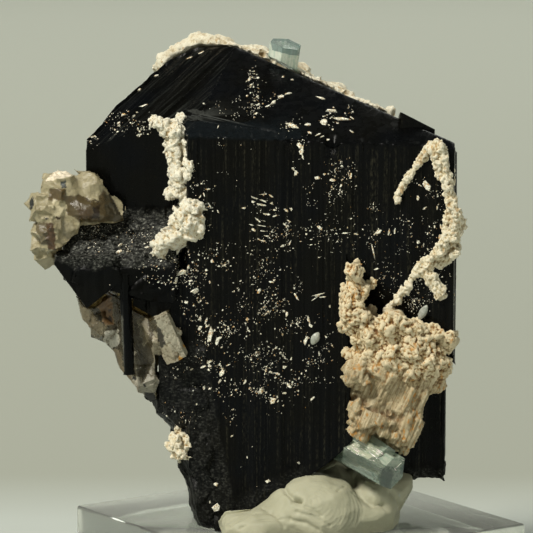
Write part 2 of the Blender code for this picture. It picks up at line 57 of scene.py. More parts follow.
# Camera: its place in millimetres, its dip below level in degrees, and its lens. PICTURE counts the
# photograph's pixels on a side, and PIXEL is what one of them shows at the specimen in millimetres
PICTURE = 533
CAMERA_PLACE = Vector((-3.8, -461.4, 118.4))
CAMERA_DIP = 9.36
LENS = 270.2
SENSOR = 36.0
PIXEL = 0.1175
CAMERA_TURN = Matrix.Rotation(math.radians(90.0 - CAMERA_DIP), 3, "X")

# Display block
BLOCK_SIDE = 38.1
BLOCK_HEIGHT = 12.7
BLOCK_TURN = 34.6
BLOCK_CHAMFER = 0.35

# The triangles that each fine surface is brought down to
SURFACE_FACES = {
    "black_crystal": 170000, "bladed_albite": 145000, "pressed_putty": 110000, "left_vein": 80000,
    "blue_bundle": 72000, "smoky_cluster": 72000, "blue_single": 65000, "top_crust": 62000,
    "right_vein": 60000, "milky_lump": 58000,
}


# Small sums

def ramp(low, high, value):
    """Rise from 0 to 1 as a value goes from low to high."""
    share = (value - low) / (high - low)
    return min(1.0, max(0.0, share))


def soft(low, high, value):
    """The same rise with eased ends."""
    share = ramp(low, high, value)
    return share * share * (3.0 - 2.0 * share)


def face_normal(dip, bearing):
    """The outward normal of a face, from its dip and its bearing in degrees."""
    flat = math.sin(math.radians(dip))
    turn = math.radians(bearing)
    return Vector((flat * math.cos(turn), flat * math.sin(turn), math.cos(math.radians(dip))))


def sight(u, v):
    """The direction in which the camera sees a pixel of the photograph."""
    half = PICTURE / 2.0
    scale = SENSOR / LENS / PICTURE
    flat = Vector(((u - half) * scale, (half - v) * scale, -1.0))
    return (CAMERA_TURN @ flat).normalized()


def pixel_of(place):
    """The pixel at which the camera sees a place."""
    offset = CAMERA_TURN.transposed() @ (place - CAMERA_PLACE)
    scale = LENS / SENSOR * PICTURE / -offset.z
    return PICTURE / 2.0 + offset.x * scale, PICTURE / 2.0 - offset.y * scale


def inside_outline(u, v, outline):
    """Whether a pixel lies in a closed outline of pixels."""
    inside = False
    for (u1, v1), (u2, v2) in zip(outline, outline[1:] + outline[:1]):
        if (v1 > v) != (v2 > v) and u < u1 + (v - v1) * (u2 - u1) / (v2 - v1):
            inside = not inside
    return inside


def counted(place, size, seed):
    """A place in units of a size, moved by a seed."""
    return place / size + Vector((seed, seed * 1.7, seed * 2.3))


def knobs(place, size, seed):
    """How high a surface of rounded knobs stands at a place: 0 between them, 1 on their tops."""
    distances = noise.voronoi(counted(place, size, seed))[0]
    return max(0.0, 1.0 - (distances[0] / 0.85) ** 2)


def facets(place, size, seed):
    """Flat chips that each lean their own way."""
    spot = counted(place, size, seed)
    middle = noise.voronoi(spot)[1][0]
    return (spot - middle).dot(noise.noise_vector(middle * 3.7))


def fractal(place, size, seed, octaves=3):
    """Fractal noise about 0 at a place."""
    return noise.fractal(counted(place, size, seed), 0.9, 2.1, octaves)


def stretched(place, axis, across, along):
    """A place in coordinates that are squeezed along an axis."""
    reach = place.dot(axis)
    return (place - axis * reach) / across + axis * (reach / along)


def line_distance(place, line):
    """How far a place is from a line through some points."""
    nearest = math.inf
    for start, end in zip(line, line[1:]):
        step = end - start
        share = min(1.0, max(0.0, (place - start).dot(step) / step.length_squared))
        nearest = min(nearest, (place - start - step * share).length)
    return nearest


def surface_tree(obj):
    """A search tree over an object's surface."""
    return BVHTree.FromObject(obj, bpy.context.evaluated_depsgraph_get())


def seen(tree, u, v):
    """The point of a surface that the camera sees at a pixel, with its normal."""
    return tree.ray_cast(CAMERA_PLACE, sight(u, v))[:2]


def seen_line(tree, pixels):
    """The points of a surface that the camera sees at some pixels, without those that miss it."""
    places = [seen(tree, u, v)[0] for u, v in pixels]
    return [place for place in places if place is not None]


# Meshes

def link(obj):
    """Put an object in the scene."""
    bpy.context.scene.collection.objects.link(obj)
    return obj


def new_object(name, bm):
    """Turn a bmesh into an object in the scene."""
    bmesh.ops.recalc_face_normals(bm, faces=bm.faces)
    mesh = bpy.data.meshes.new(name)
    bm.to_mesh(mesh)
    bm.free()
    return link(bpy.data.objects.new(name, mesh))


def cad_copy(node):
    """A node of the frame as a bmesh in millimetres, with its corners joined."""
    bm = bmesh.new()
    bm.from_mesh(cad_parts[node].data)
    bmesh.ops.scale(bm, vec=(1.0 / MM, 1.0 / MM, 1.0 / MM), verts=bm.verts)
    bmesh.ops.remove_doubles(bm, verts=bm.verts, dist=0.001)
    return bm


def bake(obj):
    """Replace an object's mesh with what its modifiers make of it."""
    graph = bpy.context.evaluated_depsgraph_get()
    mesh = bpy.data.meshes.new_from_object(obj.evaluated_get(graph))
    old = obj.data
    obj.modifiers.clear()
    obj.data = mesh
    bpy.data.meshes.remove(old)
    return obj


def even_skin(name, bm, voxel, smooth=0):
    """Merge a mesh's bodies into one surface of small even faces."""
    obj = new_object(name, bm)
    remesh = obj.modifiers.new("even", "REMESH")
    remesh.mode = "VOXEL"
    remesh.voxel_size = voxel
    if smooth:
        relax = obj.modifiers.new("relax", "SMOOTH")
        relax.factor = 0.5
        relax.iterations = smooth
    return bake(obj)


def unite(obj, others):
    """Fuse several bodies into the first one."""
    for other in others:
        modifier = obj.modifiers.new("join", "BOOLEAN")
        modifier.operation = "UNION"
        modifier.object = other
        bake(obj)
        bpy.data.objects.remove(other, do_unlink=True)
    return obj


def six_sided(name, foot, head, radius, turn=0.0):
    """A six-sided prism from its foot to its head."""
    axis = head - foot
    rotation = axis.to_track_quat("Z", "Y").to_matrix().to_4x4()
    place = Matrix.Translation(foot + axis / 2.0) @ rotation @ Matrix.Rotation(math.radians(turn), 4, "Z")
    bm = bmesh.new()
    bmesh.ops.create_cone(
        bm, cap_ends=True, segments=6, radius1=radius, radius2=radius, depth=axis.length, matrix=place)
    return new_object(name, bm)


def crisp_skin(name, bm, depth, squeeze=1.0):
    """Small even faces that keep the sharp edges, longer along Z if the mesh is squeezed."""
    bmesh.ops.scale(bm, vec=(1.0, 1.0, squeeze), verts=bm.verts)
    obj = new_object(name, bm)
    remesh = obj.modifiers.new("even", "REMESH")
    remesh.mode = "SHARP"
    remesh.octree_depth = depth
    remesh.scale = 0.99
    remesh.sharpness = 1.0
    bake(obj)
    obj.data.transform(Matrix.Diagonal((1.0, 1.0, 1.0 / squeeze, 1.0)))
    return obj


def on_edges(mesh, angle):
    """Whether each vertex lies on an edge that turns by more than an angle, in radians."""
    bm = bmesh.new()
    bm.from_mesh(mesh)
    found = [any(edge.calc_face_angle(0.0) > angle for edge in vert.link_edges) for vert in bm.verts]
    bm.free()
    return found


def thin_out(obj):
    """Bring a surface down to its number of triangles, fewest where it is flat."""
    faces = SURFACE_FACES[obj.name]
    mesh = obj.data
    mesh.calc_loop_triangles()
    modifier = obj.modifiers.new("fewer", "DECIMATE")
    modifier.ratio = min(1.0, faces / len(mesh.loop_triangles))
    return bake(obj)


def starts(mesh):
    """Each vertex with its place and its normal, before any of them moves."""
    spots = [(vert.co.copy(), vert.normal.copy()) for vert in mesh.vertices]
    return [(vert, place, normal) for vert, (place, normal) in zip(mesh.vertices, spots)]


def relief(obj, rule):
    """Move each vertex along its normal by a rule."""
    for vert, place, normal in starts(obj.data):
        vert.co = place + normal * rule(place, normal)
    obj.data.update()
    return obj


def store(mesh, name, values):
    """Store a number on each vertex."""
    mesh.attributes.new(name, "FLOAT", "POINT").data.foreach_set("value", values)


def crease_relief(obj, rounds, depth):
    """Store how high each vertex stands above the smoothed surface: 0 in creases, 1 on tops."""
    mesh = obj.data
    count = len(mesh.vertices)
    places = np.empty(count * 3)
    mesh.vertices.foreach_get("co", places)
    places = places.reshape(-1, 3)
    normals = np.empty(count * 3)
    mesh.vertex_normals.foreach_get("vector", normals)
    ends = np.empty(len(mesh.edges) * 2, dtype=int)
    mesh.edges.foreach_get("vertices", ends)
    first, second = ends.reshape(-1, 2).T
    shared = np.maximum(np.bincount(ends, minlength=count), 1)
    even = places
    for _ in range(rounds):
        total = np.zeros((count, 3))
        for axis in range(3):
            total[:, axis] = np.bincount(first, even[second, axis], count)
            total[:, axis] += np.bincount(second, even[first, axis], count)
        even = total / shared[:, None]
    height = ((places - even) * normals.reshape(-1, 3)).sum(axis=1)
    level = np.clip(0.5 + height / depth, 0.0, 1.0)
    store(mesh, "relief", level.astype(np.float32))
    return obj


# A patch of a surface by its outline in pixels, with its colour and how milky it is
Zone = namedtuple("Zone", "outline colour milky")


def paint_zones(obj, base, zones, ragged):
    """Store each vertex's tint and how milky it is, by the zones that the camera sees there."""
    tints = []
    veils = []
    for vert in obj.data.vertices:
        u, v = pixel_of(vert.co)
        u += ragged * noise.noise(vert.co / 0.5)
        v += ragged * noise.noise(vert.co / 0.5 + Vector((9.0, 9.0, 9.0)))
        found = base
        for zone in zones:
            if inside_outline(u, v, zone.outline):
                found = zone
        tints.extend((*found.colour, 1.0))
        veils.append(found.milky)
    obj.data.attributes.new("tint", "FLOAT_COLOR", "POINT").data.foreach_set("color", tints)
    store(obj.data, "veil", veils)


def finish(obj, material, nodes=(), sharp=None):
    """Bring a piece to metres, dress it, and fix it to the frame."""
    obj.data.transform(Matrix.Scale(MM, 4))
    obj.data.materials.clear()
    obj.data.materials.append(material)
    obj.data.shade_smooth()
    if sharp is not None:
        obj.data.set_sharp_from_angle(angle=math.radians(sharp))
    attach(obj, "root")
    if nodes:
        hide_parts(*nodes)
    return obj


# Materials

class Finish:
    """A material's nodes, with short calls for those that the materials share."""

    def __init__(self, name):
        self.material = bpy.data.materials.new(name)
        self.material.use_nodes = True
        self.tree = self.material.node_tree
        self.shader = self.tree.nodes["Principled BSDF"]
        self.output = self.tree.nodes["Material Output"]
        self.place = self.tree.nodes.new("ShaderNodeTexCoord").outputs["Object"]

    def put(self, socket, value):
        """Give a socket another node's output, a number or a colour."""
        if isinstance(value, bpy.types.NodeSocket):
            self.tree.links.new(value, socket)
        elif isinstance(value, tuple) and len(value) == 3 and socket.type == "RGBA":
            socket.default_value = (*value, 1.0)
        else:
            socket.default_value = value

    def set(self, **values):
        """Set the shader's sockets by name, with _ for a space."""
        for name, value in values.items():
            self.put(self.shader.inputs[name.replace("_", " ")], value)

    def node(self, kind, *values, **settings):
        """Add a node, with settings by name and values for its first sockets."""
        node = self.tree.nodes.new(kind)
        for name, value in settings.items():
            setattr(node, name, value)
        for socket, value in zip(node.inputs, values):
            if value is not None:
                self.put(socket, value)
        return node

    def per_mm(self, x=1.0, y=None, z=None):
        """Coordinates that count so many units a millimetre."""
        scale = (x / MM, (x if y is None else y) / MM, (x if z is None else z) / MM)
        return self.node("ShaderNodeVectorMath", self.place, scale, operation="MULTIPLY").outputs[0]

    def noise(self, vector, detail=3.0, rough=0.5, scale=1.0):
        """Fractal noise from 0 to 1."""
        node = self.node("ShaderNodeTexNoise", vector)
        node.inputs["Scale"].default_value = scale
        node.inputs["Detail"].default_value = detail
        node.inputs["Roughness"].default_value = rough
        return node.outputs[0]

    def cells(self, vector):
        """A random colour for each cell around a scatter of points."""
        return self.node("ShaderNodeTexVoronoi", vector).outputs["Color"]

    def times(self, first, second):
        """Two numbers multiplied."""
        return self.node("ShaderNodeMath", first, second, operation="MULTIPLY").outputs[0]

    def plus(self, first, second):
        """Two numbers added."""
        return self.node("ShaderNodeMath", first, second, operation="ADD").outputs[0]

    def attribute(self, name, output="Fac"):
        """A number or colour stored on the mesh."""
        return self.node("ShaderNodeAttribute", attribute_name=name).outputs[output]

    def lined(self, along, across, fine, long):
        """Coordinates that run fine across a direction and long along it, in units a millimetre."""
        parts = []
        for direction, scale in ((across, fine), (along, long)):
            toward = tuple(direction * (scale / MM))
            node = self.node("ShaderNodeVectorMath", self.place, toward, operation="DOT_PRODUCT")
            parts.append(node.outputs["Value"])
        return self.node("ShaderNodeCombineXYZ", *parts).outputs[0]

    def spread(self, value, low, high, to_low=0.0, to_high=1.0):
        """Map one range on to another and stop at its ends."""
        node = self.node("ShaderNodeMapRange", value, low, high, to_low, to_high)
        node.clamp = True
        return node.outputs[0]

    def stops(self, value, *stops):
        """Colours between stops, each a position and a colour."""
        node = self.node("ShaderNodeValToRGB", value)
        elements = node.color_ramp.elements
        while len(elements) < len(stops):
            elements.new(0.5)
        for element, (position, colour) in zip(elements, stops):
            element.position = position
            element.color = (*colour, 1.0)
        return node.outputs["Color"]

    def mix(self, share, first, second, blend="MIX"):
        """A blend of two colours."""
        node = self.node("ShaderNodeMix", data_type="RGBA", blend_type=blend)
        self.put(node.inputs[0], share)
        self.put(node.inputs[6], first)
        self.put(node.inputs[7], second)
        return node.outputs[2]

    def bump(self, height, depth):
        """A normal from a height that counts so many millimetres."""
        node = self.node("ShaderNodeBump")
        node.inputs["Strength"].default_value = 1.0
        node.inputs["Distance"].default_value = depth * MM
        self.put(node.inputs["Height"], height)
        return node.outputs[0]

    def absorb(self, colour, density):
        """Tint what passes through the body, density counting for each metre."""
        node = self.tree.nodes.new("ShaderNodeVolumeAbsorption")
        node.inputs["Color"].default_value = (*colour, 1.0)
        node.inputs["Density"].default_value = density
        self.tree.links.new(node.outputs[0], self.output.inputs["Volume"])


def black_tourmaline():
    """Near black, glossy on the end faces, striated on the prism, dull where it is broken."""
    look = Finish("black_tourmaline")
    broken = look.attribute("broken")
    striated = look.attribute("striated")
    threads = look.noise(look.per_mm(3.6, 3.6, 0.05), 4.0, 0.65)
    dashes = look.noise(look.per_mm(5.0, 5.0, 1.8), 3.0, 0.7)
    grit = look.noise(look.per_mm(3.0, 3.0, 4.4), 3.0, 0.66)
    patches = look.noise(look.per_mm(0.16), 3.0)
    tint = look.stops(patches, (0.35, (0.0016, 0.0020, 0.0026)), (0.6, (0.0021, 0.0021, 0.0016)))
    # Painted glints and sheen on the broken faces: grey and pale specks stand in for their sparkle
    worn = look.stops(
        grit, (0.40, (0.006, 0.006, 0.0055)), (0.54, (0.034, 0.035, 0.031)), (0.68, (0.17, 0.17, 0.15)))
    colour = look.mix(look.spread(broken, 0.3, 1.0), tint, worn)
    # Painted glints: dotted pale lines along the prism's grooves
    lines = look.times(look.spread(threads, 0.52, 0.68), look.spread(dashes, 0.44, 0.66))
    colour = look.mix(look.times(lines, striated), colour, (0.034, 0.032, 0.021))
    ridges = look.noise(look.lined(LEFT_RIDGES, RIDGES_ACROSS, 2.2, 0.07), 4.0, 0.7)
    # Painted highlight along the ridges of the left end face
    painted_ridge_highlight = look.times(look.spread(ridges, 0.55, 0.68), look.attribute("ridged"))
    colour = look.mix(painted_ridge_highlight, colour, (0.022, 0.024, 0.021))
    treads = look.noise(look.lined(TREAD_LINE, TREAD_ACROSS, 3.2, 0.10), 2.0, 0.6)
    # Painted highlight along the treads of the front end face
    painted_tread_highlight = look.times(look.spread(treads, 0.53, 0.60), look.attribute("tread"))
    colour = look.mix(painted_tread_highlight, colour, (0.050, 0.053, 0.050))
    # The stored patches, speckled: painted sheen and highlights, and one patch of real dust
    painted_sheen_and_dust = look.times(look.attribute("veil"), look.spread(grit, 0.30, 0.62, 0.45, 1.0))
    colour = look.mix(painted_sheen_and_dust, colour, look.attribute("tint", "Color"))
    gloss = look.spread(look.noise(look.per_mm(1.3), 3.0), 0.3, 0.7, 0.20, 0.36)
    rough = look.plus(gloss, look.times(broken, 0.24))
    height = look.plus(look.times(threads, striated), look.times(grit, broken))
    height = look.plus(height, look.times(ridges, look.attribute("ridged")))
    look.set(Base_Color=colour, Roughness=rough, Specular_IOR_Level=0.055, IOR=1.62)
    look.set(Normal=look.bump(height, 0.09))
    return look.material


def albite(name, deep, middle, pale, stain, bladed=None):
    """Granular feldspar: dark in its creases as painted shade, pale on its tops, greyer where it is bladed,
    with rust spots.
    """
    look = Finish(name)
    height = look.attribute("relief")
    mottle = look.noise(look.per_mm(0.7, 0.7, 0.5), 4.0, 0.6)
    speck = look.noise(look.per_mm(3.6), 3.0, 0.7)
    level = look.plus(height, look.spread(mottle, 0.3, 0.7, -0.16, 0.16))
    level = look.plus(level, look.spread(speck, 0.3, 0.7, -0.20, 0.16))
    # Painted shade: the colour runs from dark in the creases to pale on the tops, by the stored relief
    colour = look.stops(level, (0.16, deep), (0.38, middle), (0.64, pale))
    if bladed:
        threads = look.noise(look.lined(BLADE_AXIS, BLADE_ACROSS, 3.4, 0.25), 4.0, 0.7)
        grey = look.stops(threads, (0.36, bladed[0]), (0.52, bladed[1]), (0.66, bladed[2]))
        # The blades get the same painted shade in their creases
        speckled = look.mix(look.spread(level, 0.2, 0.5), look.mix(0.5, deep, grey), grey)
        colour = look.mix(look.attribute("bladed"), colour, speckled)
    rust = look.noise(look.per_mm(2.2, 2.2, 1.1), 3.0, 0.6)
    place = look.noise(look.per_mm(0.35), 2.0, 0.5)
    spots = look.times(look.spread(rust, 0.57, 0.64), look.spread(place, 0.38, 0.52))
    colour = look.mix(look.times(spots, 0.8), colour, stain)
    grain = look.noise(look.per_mm(6.5), 4.0, 0.75)
    chips = look.cells(look.per_mm(3.6))
    rise = look.plus(grain, look.times(look.noise(chips, 0.0, 0.5, 3.0), 0.7))
    if bladed:
        rise = look.plus(rise, look.times(threads, look.attribute("bladed")))
    look.set(Base_Color=colour, Roughness=look.spread(grain, 0.35, 0.65, 0.34, 0.66))
    look.set(Specular_IOR_Level=0.45, Normal=look.bump(rise, 0.17))
    return look.material


def fleck_white():
    """Pale flakes, each a little different."""
    look = Finish("pale_flakes")
    own = look.cells(look.per_mm(1.6))
    tone = look.noise(own, 0.0, 0.5, 2.3)
    colour = look.stops(
        tone, (0.24, (0.50, 0.25, 0.06)), (0.32, (0.50, 0.42, 0.26)), (0.44, (0.46, 0.46, 0.40)),
        (0.52, (0.84, 0.80, 0.66)), (0.75, (0.92, 0.90, 0.80)))
    look.set(Base_Color=colour, Roughness=0.42, Specular_IOR_Level=0.5)
    return look.material


def clear_blue(name, tint, density, rough, axis):
    """Pale blue beryl with lines of growth along its axis and a slight inner haze."""
    look = Finish(name)
    lines = look.noise(look.per_mm(2.6), 3.0, 0.55)
    across = axis.cross(Vector((0.0, 1.0, 0.0))).normalized()
    streaks = look.noise(look.lined(axis, across, 3.4, 0.30), 4.0, 0.65)
    haze = look.stops(
        look.plus(look.times(lines, 0.4), look.times(streaks, 0.6)),
        (0.40, (0.55, 0.68, 0.66)), (0.50, (0.84, 0.90, 0.88)), (0.60, (1.0, 1.0, 1.0)))
    colour = look.mix(1.0, look.attribute("tint", "Color"), haze, "MULTIPLY")
    clear = look.spread(look.attribute("veil"), 0.0, 1.0, 0.92, 0.25)
    look.set(Base_Color=colour, Transmission_Weight=clear, IOR=1.575)
    look.set(Roughness=look.spread(lines, 0.45, 0.75, rough, rough + 0.22))
    look.set(Normal=look.bump(lines, 0.05))
    look.absorb(tint, density)
    return look.material


def clear_leaf():
    """Thin half-clear blades."""
    look = Finish("clear_leaf")
    veil = look.noise(look.per_mm(1.2), 3.0, 0.6)
    look.set(Base_Color=look.stops(veil, (0.35, (0.42, 0.44, 0.38)), (0.65, (0.78, 0.80, 0.72))))
    look.set(Transmission_Weight=0.45, IOR=1.54, Roughness=0.25)
    return look.material


def glints():
    """Painted glints in cracks just under a crystal's faces: pale, tinged pink, yellow and green."""
    look = Finish("cracks_with_painted_glints")
    tone = look.noise(look.per_mm(0.9), 2.0, 0.5, 1.4)
    colour = look.stops(
        tone, (0.30, (0.50, 0.60, 0.56)), (0.42, (0.86, 0.90, 0.70)),
        (0.50, (0.96, 0.95, 0.86)), (0.58, (0.84, 0.64, 0.68)), (0.70, (0.88, 0.92, 0.88)))
    look.set(Base_Color=colour, Roughness=0.3, Specular_IOR_Level=0.5)
    return look.material


def quartz(name, rough, tint, density, bumps, speck):
    """Quartz that is clear in places and milky in others, by its stored zones."""
    look = Finish(name)
    veil = look.attribute("veil")
    fine = look.noise(look.per_mm(bumps), 4.0, 0.65)
    mottle = look.noise(look.per_mm(0.6), 4.0, 0.65)
    shade = look.stops(
        look.plus(look.spread(mottle, 0.3, 0.7, -0.15, 0.15), fine),
        (0.32, speck), (0.50, (0.92, 0.92, 0.92)), (0.68, (1.0, 1.0, 1.0)))
    colour = look.mix(veil, look.attribute("tint", "Color"), shade, "MULTIPLY")
    look.set(Base_Color=colour, IOR=1.544)
    look.set(Transmission_Weight=look.spread(veil, 0.0, 1.0, 0.97, 0.12))
    look.set(Roughness=look.spread(look.plus(veil, mottle), 0.4, 1.6, rough, 0.5))
    look.set(Normal=look.bump(fine, 0.12))
    look.absorb(tint, density)
    return look.material


def putty_finish():
    """Warm grey putty, greasy where it was pressed."""
    look = Finish("putty")
    tone = look.noise(look.per_mm(0.18), 3.0)
    colour = look.stops(tone, (0.3, (0.325, 0.318, 0.222)), (0.7, (0.40, 0.39, 0.28)))
    fine = look.noise(look.per_mm(5.0), 4.0, 0.6)
    look.set(Base_Color=colour, Roughness=look.spread(tone, 0.3, 0.7, 0.5, 0.66))
    look.set(Subsurface_Weight=0.08, Subsurface_Radius=(1.0, 0.8, 0.5), Subsurface_Scale=0.0006)
    look.set(Specular_IOR_Level=0.35, Normal=look.bump(fine, 0.03))
    return look.material


def acrylic():
    """Clear acrylic, faintly green through its depth."""
    look = Finish("clear_acrylic")
    wear = look.noise(look.per_mm(0.25, 0.25, 2.0), 4.0, 0.7)
    look.set(Base_Color=(0.99, 1.0, 0.96), Transmission_Weight=0.93, IOR=1.49)
    look.set(Roughness=look.spread(wear, 0.4, 0.75, 0.01, 0.09))
    look.absorb((0.72, 0.78, 0.66), 7.0)
    return look.material


# Black tourmaline

APEX = Vector((-7.5, 6.1, 67.5))
FRONT_END = face_normal(30.5, -97.6)
LEFT_END = face_normal(32.9, -137.3)
FRONT = face_normal(90.0, -99.8)
FRONT_POINT = Vector((-9.8, -8.8, 0.0))

# Ridges that run over the left end face
LEFT_RIDGES = Vector((0.65, 0.532, 0.542)).normalized()
RIDGES_ACROSS = LEFT_RIDGES.cross(LEFT_END).normalized()

# A narrow wedge of treads on the front end face, by the line that it starts from
TREADS_START = Vector((-13.2, -3.9, 61.3))
TREADS_END = Vector((-1.2, -8.8, 59.3))
TREADS_WIDTH = 1.5
TREAD_LINE = (TREADS_END - TREADS_START).normalized()
TREAD_ACROSS = TREAD_LINE.cross(FRONT_END).normalized()

# Where it is broken, as the places along an axis where the roughness starts and where it is full
LEDGE_RIGHT = (-13.6, -15.0)
LEDGE_TOP = (50.0, 48.8)
LEDGE_UNDER = (43.2, 44.4)
LEDGE_BACK = (2.0, 1.0)
CORNER_TOP = (37.0, 34.5)
CORNER_LEFT = (-18.9, -18.3)
FOOT_TOP = (24.0, 21.0)
FOOT_RIGHT = (2.5, 0.5)
LEG_LEFT = (12.0, 13.0)
LEG_TOP = (20.6, 19.0)

# How rough the lower left corner and the foot are, against 1 on the ledge
CORNER_SHARE = 0.45
FOOT_SHARE = 0.42

# Upright grooves: their pitch, depth and seed
GROOVES = ((1.1, 0.14, 3.0), (0.42, 0.09, 7.0))

# The left block's front is smoother: from where along X, and from where along Z
SMOOTH_RIGHT = (-14.5, -16.0)
SMOOTH_LOW = (47.0, 49.0)

# Chips along the front's upper edge: how far down and in they reach, and their depth
CHIP_REACH = 1.6
CHIP_DEPTH = 0.75

# How far the lower edge hangs down, and how much more at its tip
FOOT_REACH = 1.0
TIP_REACH = 0.5
TIP_RIGHT = (-4.0, -9.0)
FOOT_END = (7.0, 4.5)

# Upright squeeze while the surface is made, so its faces are longer along the grooves
CRYSTAL_SQUEEZE = 0.5

# Greyer or bluer patches painted on its faces: a bluish painted sheen on the front end face, painted
# highlights on two treads and on the needle's left side, and a patch of dark olive dust
PAINTED_SHEEN_AND_DUST_PATCHES = (
    Zone(((184, 121), (240, 122), (300, 124), (302, 139), (250, 141), (188, 140)),
         (0.0050, 0.0070, 0.0085), 0.9),
    Zone(((184, 109), (196, 109), (213, 113), (214, 116), (205, 117), (194, 114)),
         (0.042, 0.044, 0.040), 0.9),
    Zone(((187, 115), (200, 117), (212, 119), (206, 121), (190, 119)), (0.034, 0.036, 0.033), 0.9),
    Zone(((206, 100), (238, 96), (250, 112), (242, 118), (214, 114)), (0.009, 0.009, 0.007), 0.8),
    Zone(((119, 318), (123, 315), (124.5, 372), (121, 375)), (0.085, 0.085, 0.070), 1.0),
)


def broken_share(place):
    """How rough the crystal is broken at a place, from 0 on its faces to 1."""
    low = place.z + 0.8 * noise.noise(place / 1.2)
    ledge = ramp(*LEDGE_RIGHT, place.x) * ramp(*LEDGE_TOP, place.z) * ramp(*LEDGE_UNDER, low)
    ledge *= ramp(*LEDGE_BACK, place.y)
    edge = -10.8 + (36.0 - place.z) * 0.18 + 0.8 * noise.noise(place / 1.5)
    corner = CORNER_SHARE * ramp(edge + 0.7, edge - 0.7, place.x) * ramp(*CORNER_TOP, place.z)
    corner *= ramp(*CORNER_LEFT, place.x)
    foot = FOOT_SHARE * ramp(*FOOT_TOP, place.z - 0.5 * place.x) * ramp(*FOOT_RIGHT, place.x)
    leg = ramp(*LEG_LEFT, place.x) * ramp(*LEG_TOP, place.z + 0.1 * place.x + noise.noise(place / 1.6))
    return max(ledge, corner, foot, leg)


def striation(place, normal):
    """How deep the upright grooves of the prism go."""
    along = place.x if abs(normal.y) > abs(normal.x) else place.y
    depth = 0.0
    for pitch, deep, seed in GROOVES:
        spot = Vector((along / pitch, seed, place.z / 45.0))
        depth += deep * abs(noise.noise(spot)) * 1.6
    smooth = ramp(*SMOOTH_RIGHT, place.x) * ramp(*SMOOTH_LOW, place.z)
    return depth * (1.0 - 0.75 * smooth)


def tread_share(place):
    """Where the place lies in the wedge of treads: how far along it and how far across it."""
    offset = place - TREADS_START
    along = offset.dot(TREAD_LINE) / (TREADS_END - TREADS_START).length
    across = offset.dot(TREAD_ACROSS) / (TREADS_WIDTH * (1.06 - along))
    return along, across


def end_steps(place, normal):
    """How deep the treads of the front end face and the ridges of the left one go."""
    depth = 0.0
    on_front = normal.dot(FRONT_END) > max(0.93, normal.dot(LEFT_END))
    along, across = tread_share(place)
    if on_front and -0.05 < along < 1.0 and 0.0 < across < 1.0:
        depth += 0.16 * across * ramp(-0.05, 0.02, along) * ramp(1.0, 0.8, along)
    elif normal.dot(LEFT_END) > 0.9 and not on_front:
        offset = place - APEX
        spot = Vector((offset.dot(RIDGES_ACROSS) / 1.3, offset.dot(LEFT_RIDGES) / 16.0, 2.0))
        depth += 0.55 * abs(noise.noise(spot)) + 0.20 * abs(noise.noise(spot * 2.9))
    return depth


def chipping(place):
    """How far the front's upper edge is chipped back."""
    under = (APEX - place).dot(FRONT_END)
    behind = (FRONT_POINT - place).dot(FRONT)
    if under > CHIP_REACH or behind > CHIP_REACH:
        return 0.0
    bite = ramp(0.15, 0.55, noise.noise(Vector((place.x / 2.4, 4.0, 1.0))))
    bite += 0.3 * ramp(0.0, 0.5, noise.noise(Vector((place.x / 0.7, 9.0, 1.0))))
    near = ramp(CHIP_REACH, 0.0, under) * ramp(CHIP_REACH, 0.0, behind)
    return CHIP_DEPTH * bite * near


def crystal_move(place, normal, sharp):
    """How far a vertex of the crystal moves inward."""
    broken = broken_share(place)
    whole = 1.0 - broken
    prism = whole * ramp(0.45, 0.2, abs(normal.z))
    end = whole * ramp(0.5, 0.75, normal.z)
    move = prism * striation(place, normal) + end * end_steps(place, normal)
    move += broken * (0.22 + 0.55 * facets(place, 1.1, 3.0) + 0.90 * facets(place, 3.2, 8.0))
    move += broken * 0.10 * fractal(place, 0.6, 5.0, 2)
    move += chipping(place)
    if sharp:
        move += 0.04 + 0.12 * noise.noise(place / 0.8) ** 2
    return move, broken, prism * ramp(-16.0, -14.0, place.x)


def foot_drop(place):
    """How far the slanting lower edge hangs down, most at the tip on the left."""
    edge = 14.0 + 0.567 * (place.x + 12.0)
    reach = FOOT_REACH + TIP_REACH * ramp(*TIP_RIGHT, place.x)
    return reach * ramp(edge + 4.5, edge + 1.0, place.z) * ramp(*FOOT_END, place.x)


def ridged_share(normal):
    """How far a normal belongs to the left end face rather than the front one."""
    return ramp(0.0, 0.03, normal.dot(LEFT_END) - max(0.7, normal.dot(FRONT_END)))


def treads_shown(place, normal):
    """How strongly the treads' painted highlight shows at a place, fading at the wedge's sides."""
    along, across = tread_share(place)
    on_front = ramp(0.85, 0.93, normal.dot(FRONT_END))
    within = ramp(-0.08, -0.03, along) * ramp(1.0, 0.9, along)
    within *= ramp(-0.1, 0.02, across)
    within *= ramp(1.08, 0.96, across)
    return on_front * within


def schorl():
    """The black tourmaline, with its grooves, treads, ridges and broken parts."""
    obj = crisp_skin("black_crystal", cad_copy("schorl_crystal"), 8, CRYSTAL_SQUEEZE)
    shares = {"broken": [], "striated": [], "ridged": [], "tread": []}
    for (vert, place, normal), sharp in zip(starts(obj.data), on_edges(obj.data, 0.6)):
        move, broken, prism = crystal_move(place, normal, sharp)
        vert.co = place - normal * move
        vert.co.z -= foot_drop(place)
        shares["broken"].append(broken)
        shares["striated"].append(prism)
        shares["ridged"].append(ridged_share(normal) * (1.0 - broken))
        shares["tread"].append(treads_shown(place, normal))
    for name, values in shares.items():
        store(obj.data, name, values)
    # Paint the sheen, highlight and dust patches
    paint_zones(obj, Zone((), (0.0, 0.0, 0.0), 0.0), PAINTED_SHEEN_AND_DUST_PATCHES, 0.8)
    return thin_out(obj)


# Pale flakes on the black crystal

